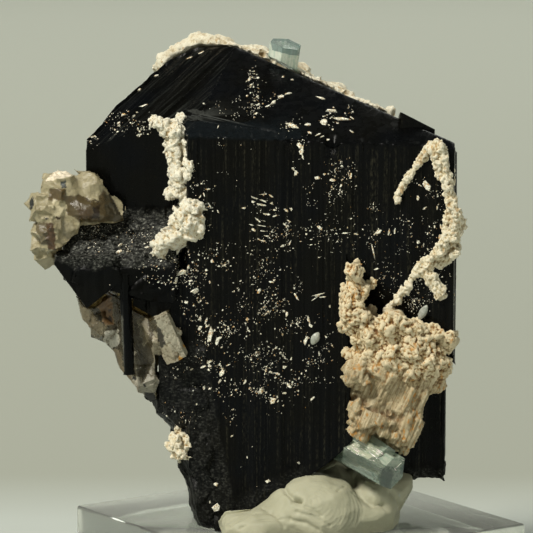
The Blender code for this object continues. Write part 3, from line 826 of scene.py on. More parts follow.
# A flake by the pixel of its middle, with its length and width in pixels and its lean in degrees
Flake = namedtuple("Flake", "u v length width lean")
FLAKES = [Flake(*row) for row in (
    # On the end faces
    (201, 53, 12, 2.6, 27), (189, 58, 7, 2.0, 30), (156, 76, 11, 3.2, 13), (139, 90, 6, 2.2, 22),
    (143, 106, 12, 2.2, 18), (204, 104, 4.5, 3.2, 0), (218, 127, 6, 1.6, 80), (150, 125, 9, 2.0, 78),
    (123, 115, 6, 3.4, 10), (134, 116, 11, 2.2, 8), (119, 123, 4.5, 3.4, 60), (138, 129, 7, 2.0, -60),
    (118, 132, 4, 2.6, 20), (112, 108, 6, 2.4, 55), (93, 137, 7, 2.4, 28), (250, 71, 3, 2.4, 60),
    (249, 80, 5, 3.0, 70), (258, 78, 4, 3.2, 0), (251, 85, 5, 3.4, 50), (247, 96, 4, 2.6, 40),
    (258, 105, 7, 3.6, 65), (256, 114, 4, 2.6, 10), (274, 102, 12, 6.0, 60), (281, 97, 11, 5.0, 25),
    (288, 94, 12, 3.2, 17), (268, 106, 8, 2.0, 35), (283, 77, 4.5, 3.0, 0), (292, 80, 3.5, 2.2, 10),
    (293, 126, 13, 6.0, -30), (288, 124, 6, 3.0, 20), (308, 125, 7, 4.0, 20), (310, 133, 6, 3.0, -40),
    (321, 98, 13, 2.6, -28), (332, 111, 24, 6.5, -20), (340, 119, 24, 5.5, -6), (324, 122, 12, 10.0, 40),
    (352, 118, 7, 2.0, -50), (352, 132, 8, 2.4, -35), (318, 135, 7, 2.4, 35), (322, 137, 6, 2.2, 35),
    (328, 140, 4, 2.4, 0),
    # On the upper half of the front
    (302, 150, 12, 5.0, 70), (299, 145, 8, 4.0, -50), (303, 157, 9, 2.4, -70), (296, 173, 10, 6.5, 70),
    (293, 169, 6, 3.0, -40), (317, 178, 7, 3.6, 0), (325, 174, 4, 2.6, 20), (332, 180, 6, 2.8, -10),
    (351, 176, 8, 2.6, 80), (342, 180, 4, 3.0, 90), (341, 186, 4, 3.0, 40), (200, 197, 5, 1.8, 60),
    (204, 195, 5, 1.6, -70), (208, 189, 5, 1.8, 5), (210, 206, 6, 1.8, -60), (218, 211, 5, 1.8, -60),
    (267, 214, 18, 2.8, -7), (264, 201, 13, 2.0, -17), (255, 198, 8, 2.0, -24), (263, 205, 12, 2.2, -8),
    (264, 194, 12, 1.6, 6), (271, 196, 6, 1.6, -35), (253, 202, 4.5, 2.8, 0), (244, 208, 5, 2.8, 0),
    (275, 216, 7, 1.8, 25), (272, 203, 5, 3.2, 40), (275, 210, 5, 1.8, -10), (258, 220, 8, 2.0, -35),
    (252, 225, 6, 1.8, -20), (254, 230, 6, 2.6, -35), (264, 221, 9, 1.0, -12), (263, 226, 10, 1.0, -8),
    (262, 231, 8, 1.0, -6), (268, 236, 12, 1.0, -3), (260, 240, 8, 1.2, -30), (264, 241, 6, 1.8, -15),
    (285, 225, 9, 2.2, -35), (289, 221, 6, 1.6, -35), (286, 210, 6, 3.0, -50), (291, 209, 4, 3.2, 90),
    (283, 246, 5, 2.8, 20), (290, 243, 6, 2.0, 70), (378, 232, 8, 4.0, 32), (373, 250, 17, 1.6, -80),
    (427, 187, 13, 8.0, -55), (418, 198, 6, 3.4, 80), (425, 208, 6, 3.0, 50), (437, 208, 5, 2.0, 85),
    (441, 227, 7, 2.6, -80), (441, 238, 10, 4.4, -70), (389, 232, 7, 2.0, 85), (395, 231, 7, 2.2, 78),
    (320, 228, 8, 3.0, -32), (377, 269, 8, 2.0, 12), (345, 233, 12, 2.6, 8), (356, 234, 6, 2.0, -10),
    (120, 245, 5, 3.4, 40), (119, 252, 8, 5.0, 10), (147, 247, 7, 3.4, 12),
    # On the lower half of the front
    (212, 261, 6, 4.0, 20), (206, 270, 4, 3.2, 0), (219, 266, 4, 3.0, 0), (181, 273, 12, 4.6, 25),
    (176, 281, 8, 4.0, 70), (190, 281, 5, 3.0, 10), (195, 291, 9, 5.0, 20), (207, 303, 7, 2.8, -15),
    (184, 314, 5, 3.0, 0), (200, 319, 5, 3.2, 80), (206, 321, 8, 2.6, 70), (200, 328, 9, 3.6, 62),
    (207, 326, 6, 3.6, 50), (211, 335, 18, 6.4, 80), (217, 341, 9, 4.0, 72), (220, 338, 7, 3.4, 40),
    (248, 319, 5.5, 4.4, 0), (249, 331, 6, 2.0, -60), (284, 311, 4, 3.0, 30), (287, 314, 7, 3.6, 52),
    (309, 320, 9, 3.0, -72), (311, 326, 7, 3.4, -60), (306, 341, 12, 4.6, 58), (315, 338, 14, 8.0, 62),
    (319, 354, 7, 1.6, -80), (326, 337, 4, 2.2, -40), (259, 291, 8, 5.0, 60), (271, 282, 7, 1.8, -15),
    (296, 296, 10, 2.0, -60), (314, 299, 12, 1.0, 32), (317, 296, 14, 1.2, 24), (320, 294, 14, 1.0, 14),
    (322, 297, 10, 1.2, 4), (208, 362, 10, 3.0, 22), (203, 367, 6, 2.6, 10), (192, 369, 5, 2.0, 30),
    (222, 374, 10, 6.0, 62), (220, 381, 5, 3.0, 70), (228, 365, 6, 2.6, 25), (204, 388, 7, 4.0, 60),
    (210, 389, 4, 3.0, 0), (261, 391, 9, 6.4, 78), (273, 401, 8, 7.0, 84), (284, 367, 8, 4.6, 32),
    (278, 374, 10, 2.8, -20), (270, 372, 6, 2.6, -10), (289, 386, 8, 3.8, -42), (285, 393, 5, 3.0, 0),
    (245, 382, 6, 3.0, 62), (313, 398, 6, 2.0, 50), (217, 508, 11, 9.0, 20), (216, 484, 6, 4.5, 0),
    (268, 481, 6, 4.0, 30), (299, 463, 4, 3.0, 0), (232, 436, 5, 3.4, 30),
)]

# Flakes scattered about a pixel: half the field's width and height, how many, their longest length
# in pixels, their width for each length, and their lean
Field = namedtuple("Field", "u v wide high count size aspect lean")
FIELDS = [Field(*row) for row in (
    (252, 84, 10, 20, 34, 4.0, 0.6, 60), (262, 108, 18, 12, 26, 3.6, 0.6, 30),
    (240, 108, 22, 10, 40, 1.6, 0.8, 0), (290, 126, 14, 8, 14, 4.0, 0.5, -20),
    (336, 118, 22, 14, 22, 4.0, 0.5, -20), (130, 122, 30, 11, 64, 5.0, 0.45, 15),
    (95, 140, 8, 6, 14, 4.0, 0.6, 30), (170, 130, 20, 12, 16, 3.0, 0.6, 30),
    (345, 184, 14, 32, 56, 4.0, 0.4, 80), (322, 190, 26, 14, 30, 3.6, 0.5, 10),
    (330, 232, 34, 24, 64, 4.0, 0.35, 20), (300, 158, 10, 18, 14, 3.0, 0.6, 60),
    (205, 205, 16, 24, 44, 4.0, 0.35, 60), (262, 222, 18, 28, 40, 2.6, 0.4, -15),
    (288, 236, 12, 22, 30, 3.6, 0.4, 60), (225, 165, 40, 24, 14, 2.0, 0.6, 80),
    (190, 280, 24, 26, 90, 5.0, 0.45, 60), (210, 262, 26, 14, 40, 4.0, 0.6, 40),
    (268, 288, 34, 26, 120, 3.6, 0.5, 40), (205, 325, 26, 22, 66, 4.6, 0.40, 66),
    (262, 335, 44, 34, 150, 3.6, 0.45, 70), (225, 372, 50, 26, 130, 4.0, 0.55, 60),
    (285, 380, 36, 28, 110, 4.6, 0.55, 50), (320, 350, 16, 50, 50, 3.4, 0.35, 75),
    (250, 412, 90, 14, 34, 2.4, 0.6, 60), (425, 225, 26, 46, 100, 4.6, 0.40, 80),
    (425, 290, 26, 28, 84, 3.4, 0.45, 75), (380, 240, 30, 40, 60, 3.6, 0.30, 75),
    (395, 290, 24, 20, 44, 3.4, 0.4, 70), (115, 238, 38, 16, 90, 3.4, 0.6, 20),
    (160, 268, 22, 18, 60, 3.0, 0.5, 20), (265, 250, 90, 12, 44, 3.0, 0.5, 60),
)]

# The shares of a field's flakes that stand in its clusters and that have dust beside them
CLUSTERED = 0.72
DUSTY = 0.9

# Flakes on the sides and the back, which the camera at the front doesn't see
BACK_FLAKES = 700

# How deep a flake is set in, and the most that it stands out, in millimetres
FLAKE_ROOT = 0.12
FLAKE_RISE = 0.16


def add_flake(bm, place, normal, upright, lean, length, width, rng):
    """One thin flake that lies on the surface, an irregular outline with bevelled sides."""
    across = upright.cross(normal).normalized()
    up = normal.cross(across).normalized()
    turn = math.radians(lean)
    along = across * math.cos(turn) + up * math.sin(turn)
    aside = normal.cross(along)
    sides = rng.choice((4, 5, 6, 6, 7))
    thick = min(FLAKE_RISE, 0.04 + 0.16 * width) * rng.uniform(0.7, 1.2)
    tilt = rng.uniform(-0.10, 0.10)
    low = []
    top = []
    for corner in range(sides):
        angle = math.tau * (corner + rng.uniform(-0.3, 0.3)) / sides
        reach = rng.uniform(0.24, 0.62)
        spot = along * (math.cos(angle) * length * reach) + aside * (math.sin(angle) * width * reach)
        rise = thick * (1.0 + tilt * math.cos(angle) * 4.0)
        low.append(bm.verts.new(place + spot * 1.08 - normal * FLAKE_ROOT))
        top.append(bm.verts.new(place + spot * rng.uniform(0.78, 0.95) + normal * rise))
    bm.faces.new(top)
    bm.faces.new(reversed(low))
    for corner in range(sides):
        after = (corner + 1) % sides
        bm.faces.new((low[corner], low[after], top[after], top[corner]))


def in_field(field, rng):
    """A pixel in a field's oval."""
    radius = math.sqrt(rng.random())
    angle = rng.uniform(0.0, math.tau)
    return field.u + field.wide * radius * math.cos(angle), field.v + field.high * radius * math.sin(angle)


def flake_places(rng):
    """Every flake of the front: the single ones, then those of the fields in clusters with dust."""
    flakes = list(FLAKES)
    for field in FIELDS:
        clusters = [in_field(field, rng) for _ in range(1 + field.count // 8)]
        for _ in range(field.count):
            u, v = in_field(field, rng)
            if rng.random() < CLUSTERED:
                u, v = rng.choice(clusters)
                u += rng.gauss(0.0, 3.0)
                v += rng.gauss(0.0, 3.0)
            length = 0.8 + 0.8 * (field.size - 1.0) * rng.random() ** 2.6
            width = length * min(1.0, field.aspect * rng.uniform(0.6, 1.6) + 0.25 / length)
            flakes.append(Flake(u, v, length, width, field.lean + rng.gauss(0.0, 28.0)))
            if rng.random() < DUSTY:
                size = rng.uniform(0.35, 0.95)
                flakes.append(Flake(u + rng.gauss(0.0, 4.0), v + rng.gauss(0.0, 4.0), size, size, 0.0))
    return flakes


def pale_flakes(crystal):
    """All the flakes, seen from the front and on the sides and back."""
    rng = random.Random(31)
    tree = surface_tree(crystal)
    bm = bmesh.new()
    for flake in flake_places(rng):
        place, normal = seen(tree, flake.u, flake.v)
        if place is not None:
            ray = sight(flake.u, flake.v)
            upright = Vector((0.0, 0.0, 1.0)) - ray * ray.z
            add_flake(bm, place, normal, upright, flake.lean,
                      flake.length * PIXEL, flake.width * PIXEL, rng)
    for _ in range(BACK_FLAKES):
        bearing = math.radians(rng.uniform(-40.0, 210.0))
        outside = Vector((math.cos(bearing), math.sin(bearing), 0.0))
        middle = Vector((rng.uniform(-14.0, 14.0), rng.uniform(-10.0, 10.0), rng.uniform(24.0, 62.0)))
        inward = Vector((0.0, 0.0, rng.uniform(-0.4, 0.1))) - outside
        place, normal, _, _ = tree.ray_cast(outside * 60.0 + middle, inward)
        if place is not None and noise.noise(place / 6.0) > -0.05:
            length = 0.12 + 0.5 * rng.random() ** 2.6
            add_flake(bm, place, normal, Vector((0.0, 0.1, 1.0)), rng.uniform(30.0, 120.0),
                      length, length * rng.uniform(0.4, 0.9), rng)
    return new_object("pale_flakes", bm)


# Albite and feldspar

# Voxels of the fine surfaces, in millimetres
SKIN_VOXEL = 0.2
VEIN_VOXEL = 0.10
MASS_VOXEL = 0.125
CRUST_VOXEL = 0.13

# The sides of a block by its corners, which are counted along Z, then Y, then X
BLOCK_SIDES = ((0, 1, 3, 2), (4, 6, 7, 5), (0, 4, 5, 1), (2, 3, 7, 6), (0, 2, 6, 4), (1, 5, 7, 3))


class Blocks:
    """Cleavage blocks with uneven corners, gathered into one mesh."""

    def __init__(self):
        self.corners = []
        self.sides = []

    def add(self, centre, turn, size, rng):
        """Add one block."""
        first = len(self.corners)
        wear = 0.14 * size.x
        for corner in itertools.product((-0.5, 0.5), repeat=3):
            spot = Vector([reach * length for reach, length in zip(corner, size)])
            spot += Vector([rng.uniform(-wear, wear) for _ in range(3)])
            self.corners.append(centre + turn @ spot)
        self.sides.extend([first + corner for corner in side] for side in BLOCK_SIDES)

    def mesh(self, name):
        """The blocks as a mesh."""
        mesh = bpy.data.meshes.new(name)
        mesh.from_pydata(self.corners, [], self.sides)
        return mesh


def random_turn(rng):
    """Any rotation."""
    axis = Vector([rng.gauss(0.0, 1.0) for _ in range(3)]).normalized()
    return Matrix.Rotation(rng.uniform(0.0, math.tau), 3, axis)


def grain_block(rng, small, large):
    """Length, width and height of a grain, most of them small."""
    length = small + (large - small) * rng.random() ** 2.2
    return Vector((length, length * rng.uniform(0.6, 1.0), length * rng.uniform(0.5, 0.9)))


def drawn_in(tree, place, reach):
    """Slide a blade along its length until neither end stands far out of the body."""
    for _ in range(4):
        for end in (-reach, reach):
            surface, normal, _, away = tree.find_nearest(place + end)
            if away > 0.35 and (place + end - surface).dot(normal) > 0.0:
                place = place - end * 0.4
    return place


# Grains scattered in an outline of pixels: how many, and their sizes in millimetres
Scatter = namedtuple("Scatter", "outline count small large")

LEFT_UPPER = (
    (151, 117), (156, 115), (160, 121), (167, 121), (173, 122), (177, 119), (181, 113), (184, 118),
    (182, 125), (184, 131), (184, 139), (187, 141), (186, 147), (187, 159), (191, 163), (190, 168),
    (191, 173), (189, 180), (181, 181), (181, 187), (178, 194), (177, 198), (171, 196), (165, 195),
    (169, 188), (171, 180), (170, 170), (170, 160), (164, 152), (168, 148), (163, 143), (170, 140),
    (162, 134), (160, 128), (155, 124), (150, 129))
LEFT_BRIDGE = ((178, 195), (184, 198), (191, 201), (186, 206), (178, 212), (174, 208), (181, 203))
LEFT_LUMP = ((184, 202), (190, 200), (200, 203), (205, 207), (201, 212), (194, 213), (190, 219), (182, 216))
LEFT_FOOT = (
    (180, 212), (190, 213), (197, 219), (200, 228), (199, 234), (190, 236), (182, 234), (173, 228),
    (170, 219))
LEFT_TAIL = (
    (171, 226), (182, 232), (180, 237), (170, 242), (163, 246), (158, 252), (154, 247), (157, 239),
    (165, 232))
LEFT_SCATTER = (
    Scatter(LEFT_UPPER, 1500, 0.16, 0.60), Scatter(LEFT_BRIDGE, 60, 0.2, 0.5),
    Scatter(LEFT_LUMP, 130, 0.3, 1.0), Scatter(LEFT_FOOT, 170, 0.35, 1.3),
    Scatter(LEFT_TAIL, 200, 0.25, 0.8))

RIGHT_ARM = (
    (432, 143), (434, 147), (428, 155), (424, 161), (418, 165), (412, 173), (408, 180), (402, 190),
    (399, 195), (397, 201), (396, 201), (396, 198), (400, 190), (405, 181), (410, 172), (415, 165),
    (422, 156), (428, 147))
RIGHT_EDGE = (
    (437, 141), (443, 144), (445, 152), (448, 163), (448, 172), (451, 182), (452, 190), (455, 200),
    (455, 205), (458, 212), (460, 222), (458, 235), (450, 246), (440, 252), (434, 250), (443, 240),
    (444, 228), (446, 214), (447, 206), (445, 200), (445, 190), (443, 183), (437, 176), (434, 168),
    (434, 158), (431, 150))
RIGHT_KNOT = ((434, 250), (444, 243), (457, 236), (457, 252), (450, 262), (440, 267), (433, 262), (431, 256))
RIGHT_FORK = (
    (418, 263), (424, 259), (429, 258), (430, 263), (430, 269), (435, 278), (439, 284), (444, 289),
    (443, 296), (440, 298), (437, 293), (432, 284), (426, 276), (419, 273), (413, 278), (407, 289),
    (403, 294), (398, 301), (386, 311), (386, 310), (397, 299), (401, 293), (407, 285), (413, 275),
    (417, 268))
RIGHT_SCATTER = (
    Scatter(RIGHT_ARM, 420, 0.20, 0.70), Scatter(RIGHT_EDGE, 900, 0.16, 0.60),
    Scatter(RIGHT_KNOT, 240, 0.2, 0.7), Scatter(RIGHT_FORK, 560, 0.20, 0.90))

MASS_OUTLINE = (
    (353, 262), (358, 259), (361, 264), (358, 275), (358, 280), (353, 283), (358, 292), (362, 300),
    (364, 309), (367, 318), (372, 321), (380, 320), (387, 314), (395, 312), (403, 314), (404, 322),
    (411, 318), (416, 317), (419, 325), (420, 332), (427, 338), (431, 333), (438, 343), (444, 340),
    (449, 331), (457, 333), (457, 342), (455, 352), (456, 365), (454, 380), (448, 390), (446, 398),
    (442, 392), (441, 386), (434, 390), (429, 394), (427, 399), (425, 412), (424, 425), (419, 437),
    (413, 447), (405, 453), (398, 447), (390, 441), (380, 436), (372, 430), (362, 427), (354, 425),
    (353, 412), (354, 400), (352, 390), (347, 381), (351, 371), (349, 362), (343, 354), (346, 345),
    (344, 332), (341, 325), (338, 310), (341, 296), (342, 285), (347, 276))
MASS_BITS = ((365, 283), (372, 278), (379, 279), (376, 285), (366, 290))
MASS_BITS_LOW = ((366, 308), (372, 305), (377, 310), (378, 319), (370, 318))
MASS_SCATTER = (
    Scatter(((354, 262), (358, 259), (361, 264), (358, 275), (355, 284), (347, 284)), 160, 0.2, 0.45),
    Scatter(((341, 284), (356, 284), (362, 304), (365, 318), (346, 328), (340, 310)), 260, 0.2, 0.7),
    Scatter(MASS_BITS, 40, 0.16, 0.4), Scatter(MASS_BITS_LOW, 60, 0.16, 0.4),
    Scatter(((378, 318), (390, 312), (403, 314), (404, 330), (380, 332)), 30, 0.7, 1.5),
    Scatter(((405, 322), (416, 317), (419, 330), (408, 332)), 14, 0.7, 1.4),
    Scatter(((444, 340), (450, 331), (457, 334), (456, 346), (446, 352), (434, 350)), 60, 0.4, 1.0),
    Scatter(((354, 370), (357, 370), (357, 374), (354, 374)), 2, 1.7, 1.9),
    Scatter(((346, 350), (349, 350), (349, 353), (346, 353)), 2, 1.0, 1.3),
    Scatter(((348, 364), (362, 364), (362, 390), (362, 425), (354, 425), (352, 392), (347, 380)),
            150, 0.5, 1.4),
    Scatter(((357, 406), (372, 412), (392, 420), (390, 428), (372, 424), (357, 416)), 30, 0.9, 1.7),
    Scatter(((366, 424), (384, 428), (400, 436), (412, 446), (404, 452), (390, 441), (370, 430)),
            90, 0.4, 1.0))

PATCH_OUTLINE = ((167, 436), (176, 431), (187, 436), (191, 446), (186, 456), (180, 462), (170, 452))

# A vein of grains: its node, name and voxel, its loose grains and their sizes, its seed, how far its
# skin is drawn in, the grains that the camera sees, and the outlines that its body keeps to
Vein = namedtuple("Vein", "node name voxel count sizes seed deep scatters outlines")
LEFT_VEIN = Vein(
    "albite_vein_left", "left_vein", VEIN_VOXEL, 500, (0.20, 0.7), 5, 0.42, LEFT_SCATTER,
    (LEFT_UPPER, LEFT_LUMP, LEFT_FOOT, LEFT_TAIL))
RIGHT_VEIN = Vein(
    "albite_vein_right", "right_vein", VEIN_VOXEL, 500, (0.20, 0.6), 6, 0.65, RIGHT_SCATTER,
    (RIGHT_EDGE, RIGHT_KNOT))
PATCH = Vein(
    "feldspar_patch", "low_patch", 0.11, 60, (0.20, 0.6), 5, 0.42,
    (Scatter(PATCH_OUTLINE, 160, 0.2, 0.8),), (PATCH_OUTLINE,))

# The blades of the peach mass
BLADE_AXIS = Vector((0.40, -0.06, 0.91)).normalized()
BLADE_ACROSS = BLADE_AXIS.cross(Vector((0.0, 1.0, 0.0))).normalized()
MASS_BLOCKS = 460

# How far the mass draws back from the lower aquamarine, and where
GEM_ROOM = 0.9
GEM_TOP = (26.4, 25.4)
GEM_RIGHT = (10.6, 9.2)
GEM_FRONT = (-9.0, -10.0)

# The heights between which the grains above give way to the blades below
BLADES_START = (34.5, 30.5)

# The leaf-shaped crystals, and how thick they are
LEAVES = (Flake(424, 312, 18, 8, 52), Flake(315, 338, 14, 8.5, 60))
LEAF_THICKNESS = 0.64

# The crease over the mass's lower shelf: its width, depth and pixels
SHELF_WIDTH = 0.45
SHELF_DEPTH = 0.5
SHELF_CREASE = ((355, 399), (364, 404), (374, 410), (386, 414), (398, 419))

# Pixels and the depth where the mass closes on the crystal's front edge
MASS_FILL = ((352, 386), (354, 391), (355, 396), (355, 401), (356, 406), (358, 393), (359, 399))
MASS_FILL_DEPTH = -10.3


def at_depth(u, v, depth):
    """The place at a pixel that lies at a depth along Y."""
    ray = sight(u, v)
    return CAMERA_PLACE + ray * ((depth - CAMERA_PLACE.y) / ray.y)


def scatter_blocks(blocks, scatters, tree, rng):
    """Add the grains that lie in some outlines on the surface that the camera sees."""
    for scatter in scatters:
        wide = [u for u, _ in scatter.outline]
        high = [v for _, v in scatter.outline]
        added = 0
        while added < scatter.count:
            u = rng.uniform(min(wide), max(wide))
            v = rng.uniform(min(high), max(high))
            if not inside_outline(u, v, scatter.outline):
                continue
            added += 1
            place, normal = seen(tree, u, v)
            if place is not None:
                size = grain_block(rng, scatter.small, scatter.large)
                rise = normal * rng.uniform(-0.20, 0.45) * size.x
                blocks.add(place + rise, random_turn(rng), size, rng)


def both_surfaces(first, second):
    """One search tree over two objects."""
    bm = bmesh.new()
    bm.from_mesh(first.data)
    bm.from_mesh(second.data)
    tree = BVHTree.FromBMesh(bm)
    bm.free()
    return tree


def drawn_skin(node, name, deep, outlines, ground=None):
    """A node's even skin, drawn in by a depth; outside its outlines further, or sunk in the ground."""
    outside = even_skin(name, cad_copy(node), SKIN_VOXEL)
    kept = []
    for vert, place, normal in starts(outside.data):
        if any(inside_outline(*pixel_of(place), outline) for outline in outlines):
            kept.append((place, normal))
            vert.co = place - normal * deep(place)
        elif ground:
            nearest, slope, _, _ = ground.find_nearest(place)
            vert.co = nearest - slope * 0.5
        else:
            vert.co = place - normal * (deep(place) + 0.9)
    return outside, kept


def grown(outside, name, voxel, blocks):
    """Fuse a skin with the blocks that grow on it."""
    bm = bmesh.new()
    bm.from_mesh(outside.data)
    bm.from_mesh(blocks.mesh(name))
    bpy.data.objects.remove(outside, do_unlink=True)
    return even_skin(name, bm, voxel)


def granular(vein, crystal):
    """A vein rebuilt as a sugary crust of grains."""
    rng = random.Random(vein.seed)

    def deep(place):
        return vein.deep * (1.0 + 0.8 * fractal(place, 1.3, vein.seed, 2))

    outside, kept = drawn_skin(vein.node, vein.name, deep, vein.outlines, surface_tree(crystal))
    blocks = Blocks()
    for _ in range(vein.count):
        place, normal = rng.choice(kept)
        size = grain_block(rng, *vein.sizes)
        inward = 0.34 * size.x + rng.uniform(0.05, 0.45)
        blocks.add(place - normal * inward, random_turn(rng), size, rng)
    scatter_blocks(blocks, vein.scatters, both_surfaces(outside, crystal), rng)
    obj = grown(outside, vein.name, vein.voxel, blocks)

    def rule(place, normal):
        lumps = 0.20 * knobs(place, 0.85, 7.0) + 0.14 * knobs(place, 0.30, 4.0)
        return lumps + 0.08 * facets(place, 0.24, 9.0) - 0.16

    return crease_relief(relief(obj, rule), 6, 0.26)


def near_gem(place):
    """Where the mass makes room for the lower aquamarine."""
    return ramp(*GEM_TOP, place.z) * ramp(*GEM_RIGHT, place.x) * ramp(*GEM_FRONT, place.y)


def mass_bladed(place):
    """How bladed the mass is at a place: 0 where it is grainy, 1 where it is all blades."""
    return soft(*BLADES_START, place.z + 0.30 * (place.x - 10.0) + 1.4 * noise.noise(place / 1.6))


def albite_mass(crystal):
    """The peach mass: knobs of fine grains above, thin blades side by side below."""
    rng = random.Random(11)

    def deep(place):
        return 0.25 + GEM_ROOM * near_gem(place)

    outside, kept = drawn_skin("albite_mass", "bladed_albite", deep, (MASS_OUTLINE,))
    tree = surface_tree(outside)
    along = BLADE_AXIS.to_track_quat("Z", "Y").to_matrix()
    blocks = Blocks()
    for _ in range(MASS_BLOCKS):
        place, normal = rng.choice(kept)
        if mass_bladed(place) < 0.5:
            size = grain_block(rng, 0.6, 2.2)
            blocks.add(place - normal * (0.46 * size.x + 0.15), random_turn(rng), size, rng)
        elif near_gem(place) < 0.2:
            size = Vector((rng.uniform(0.2, 0.4), rng.uniform(0.3, 0.7), rng.uniform(1.2, 3.4)))
            turn = along @ Matrix.Rotation(rng.uniform(0.0, 6.0), 3, "Z")
            half = turn.col[2] * size.z / 2.0
            place = drawn_in(tree, place, half)
            if all(inside_outline(*pixel_of(end), MASS_OUTLINE) for end in (place - half, place + half)):
                blocks.add(place - normal * 0.24, turn, size, rng)
    scatter_blocks(blocks, MASS_SCATTER, both_surfaces(outside, crystal), rng)
    for u, v in MASS_FILL:
        size = grain_block(rng, 1.3, 2.2)
        blocks.add(at_depth(u, v, MASS_FILL_DEPTH), random_turn(rng), size, rng)
    obj = grown(outside, "bladed_albite", MASS_VOXEL, blocks)
    shelf = seen_line(surface_tree(obj), SHELF_CREASE)
    bladed = []

    def rule(place, normal):
        share = mass_bladed(place)
        bladed.append(share)
        rough = 0.30 * knobs(place, 1.8, 3.0) + 0.12 * knobs(place, 0.70, 5.0) - 0.28
        fine = 0.20 * knobs(place, 0.30, 8.0) + 0.10 * facets(place, 0.22, 6.0)
        lines = abs(noise.noise(stretched(place, BLADE_AXIS, 0.22, 2.6)))
        wide = abs(noise.noise(stretched(place, BLADE_AXIS, 0.9, 5.0)))
        move = (rough + fine) * (1.0 - share) + share * (0.06 + 0.45 * fine - 0.13 * lines - 0.22 * wide)
        away = line_distance(place, shelf)
        return move - SHELF_DEPTH * math.exp(-((away / SHELF_WIDTH) ** 2))

    relief(obj, rule)
    store(obj.data, "bladed", bladed)
    return crease_relief(obj, 6, 0.26)


CRUST_OUTLINES = (
    ((150, 76), (153, 64), (160, 54), (171, 46), (183, 42), (189, 35), (198, 32), (213, 34), (230, 41),
     (250, 49), (268, 60), (275, 70), (240, 60), (200, 60)),
    ((285, 62), (300, 69), (318, 80), (338, 88), (342, 94), (300, 90), (280, 74)),
    ((352, 96), (376, 103), (392, 114), (400, 124), (412, 134), (380, 130), (350, 110)))


def feldspar_crust():
    """The crust along the top edge, in low lumps and flat chips."""

    def deep(place):
        return -0.15 + 0.15 * fractal(place, 2.0, 2.0, 2)

    outside, _ = drawn_skin("feldspar_crust", "top_crust", deep, CRUST_OUTLINES)
    obj = grown(outside, "top_crust", CRUST_VOXEL, Blocks())

    def rule(place, normal):
        lumps = 0.26 * knobs(place, 2.2, 7.0) + 0.34 * facets(place, 1.2, 4.0)
        return lumps + 0.10 * facets(place, 0.5, 2.0) - 0.20

    return crease_relief(relief(obj, rule), 12, 0.5)


def leaf_crystals(ground):
    """Two leaf-shaped blades on the black crystal: one above the mass, one on the front."""
    bm = bmesh.new()
    for flake in LEAVES:
        place, normal = seen(ground, flake.u, flake.v)
        half = flake.length * PIXEL / 2.0
        lean = math.radians(flake.lean)
        along = Vector((math.cos(lean), 0.0, math.sin(lean)))
        along = (along - normal * along.dot(normal)).normalized()
        turn = Matrix((along, normal.cross(along), normal)).transposed()
        size = Matrix.Diagonal((half, flake.width * PIXEL / 2.0, LEAF_THICKNESS / 2.0, 1.0))
        body = Matrix.Translation(place + normal * 0.22) @ turn.to_4x4() @ size
        made = bmesh.ops.create_icosphere(bm, subdivisions=3, radius=1.0, matrix=body)
        for vert in made["verts"]:
            reach = (vert.co - place).dot(along) / half
            aside = normal.cross(along)
            vert.co -= aside * (vert.co - place).dot(aside) * 0.35 * reach * reach
    return new_object("leaf_crystals", bm)


# Quartz

LUMP_BLOCKS = 700
LUMP_VOXEL = 0.13

# Where along X the lump's dome gives way to blocks: their number, their facets and its skin's depth
BLOCKS_START = (-26.5, -30.5)
FACETS_START = (-26.5, -29.5)
DRAWN_START = (-28.0, -30.0)

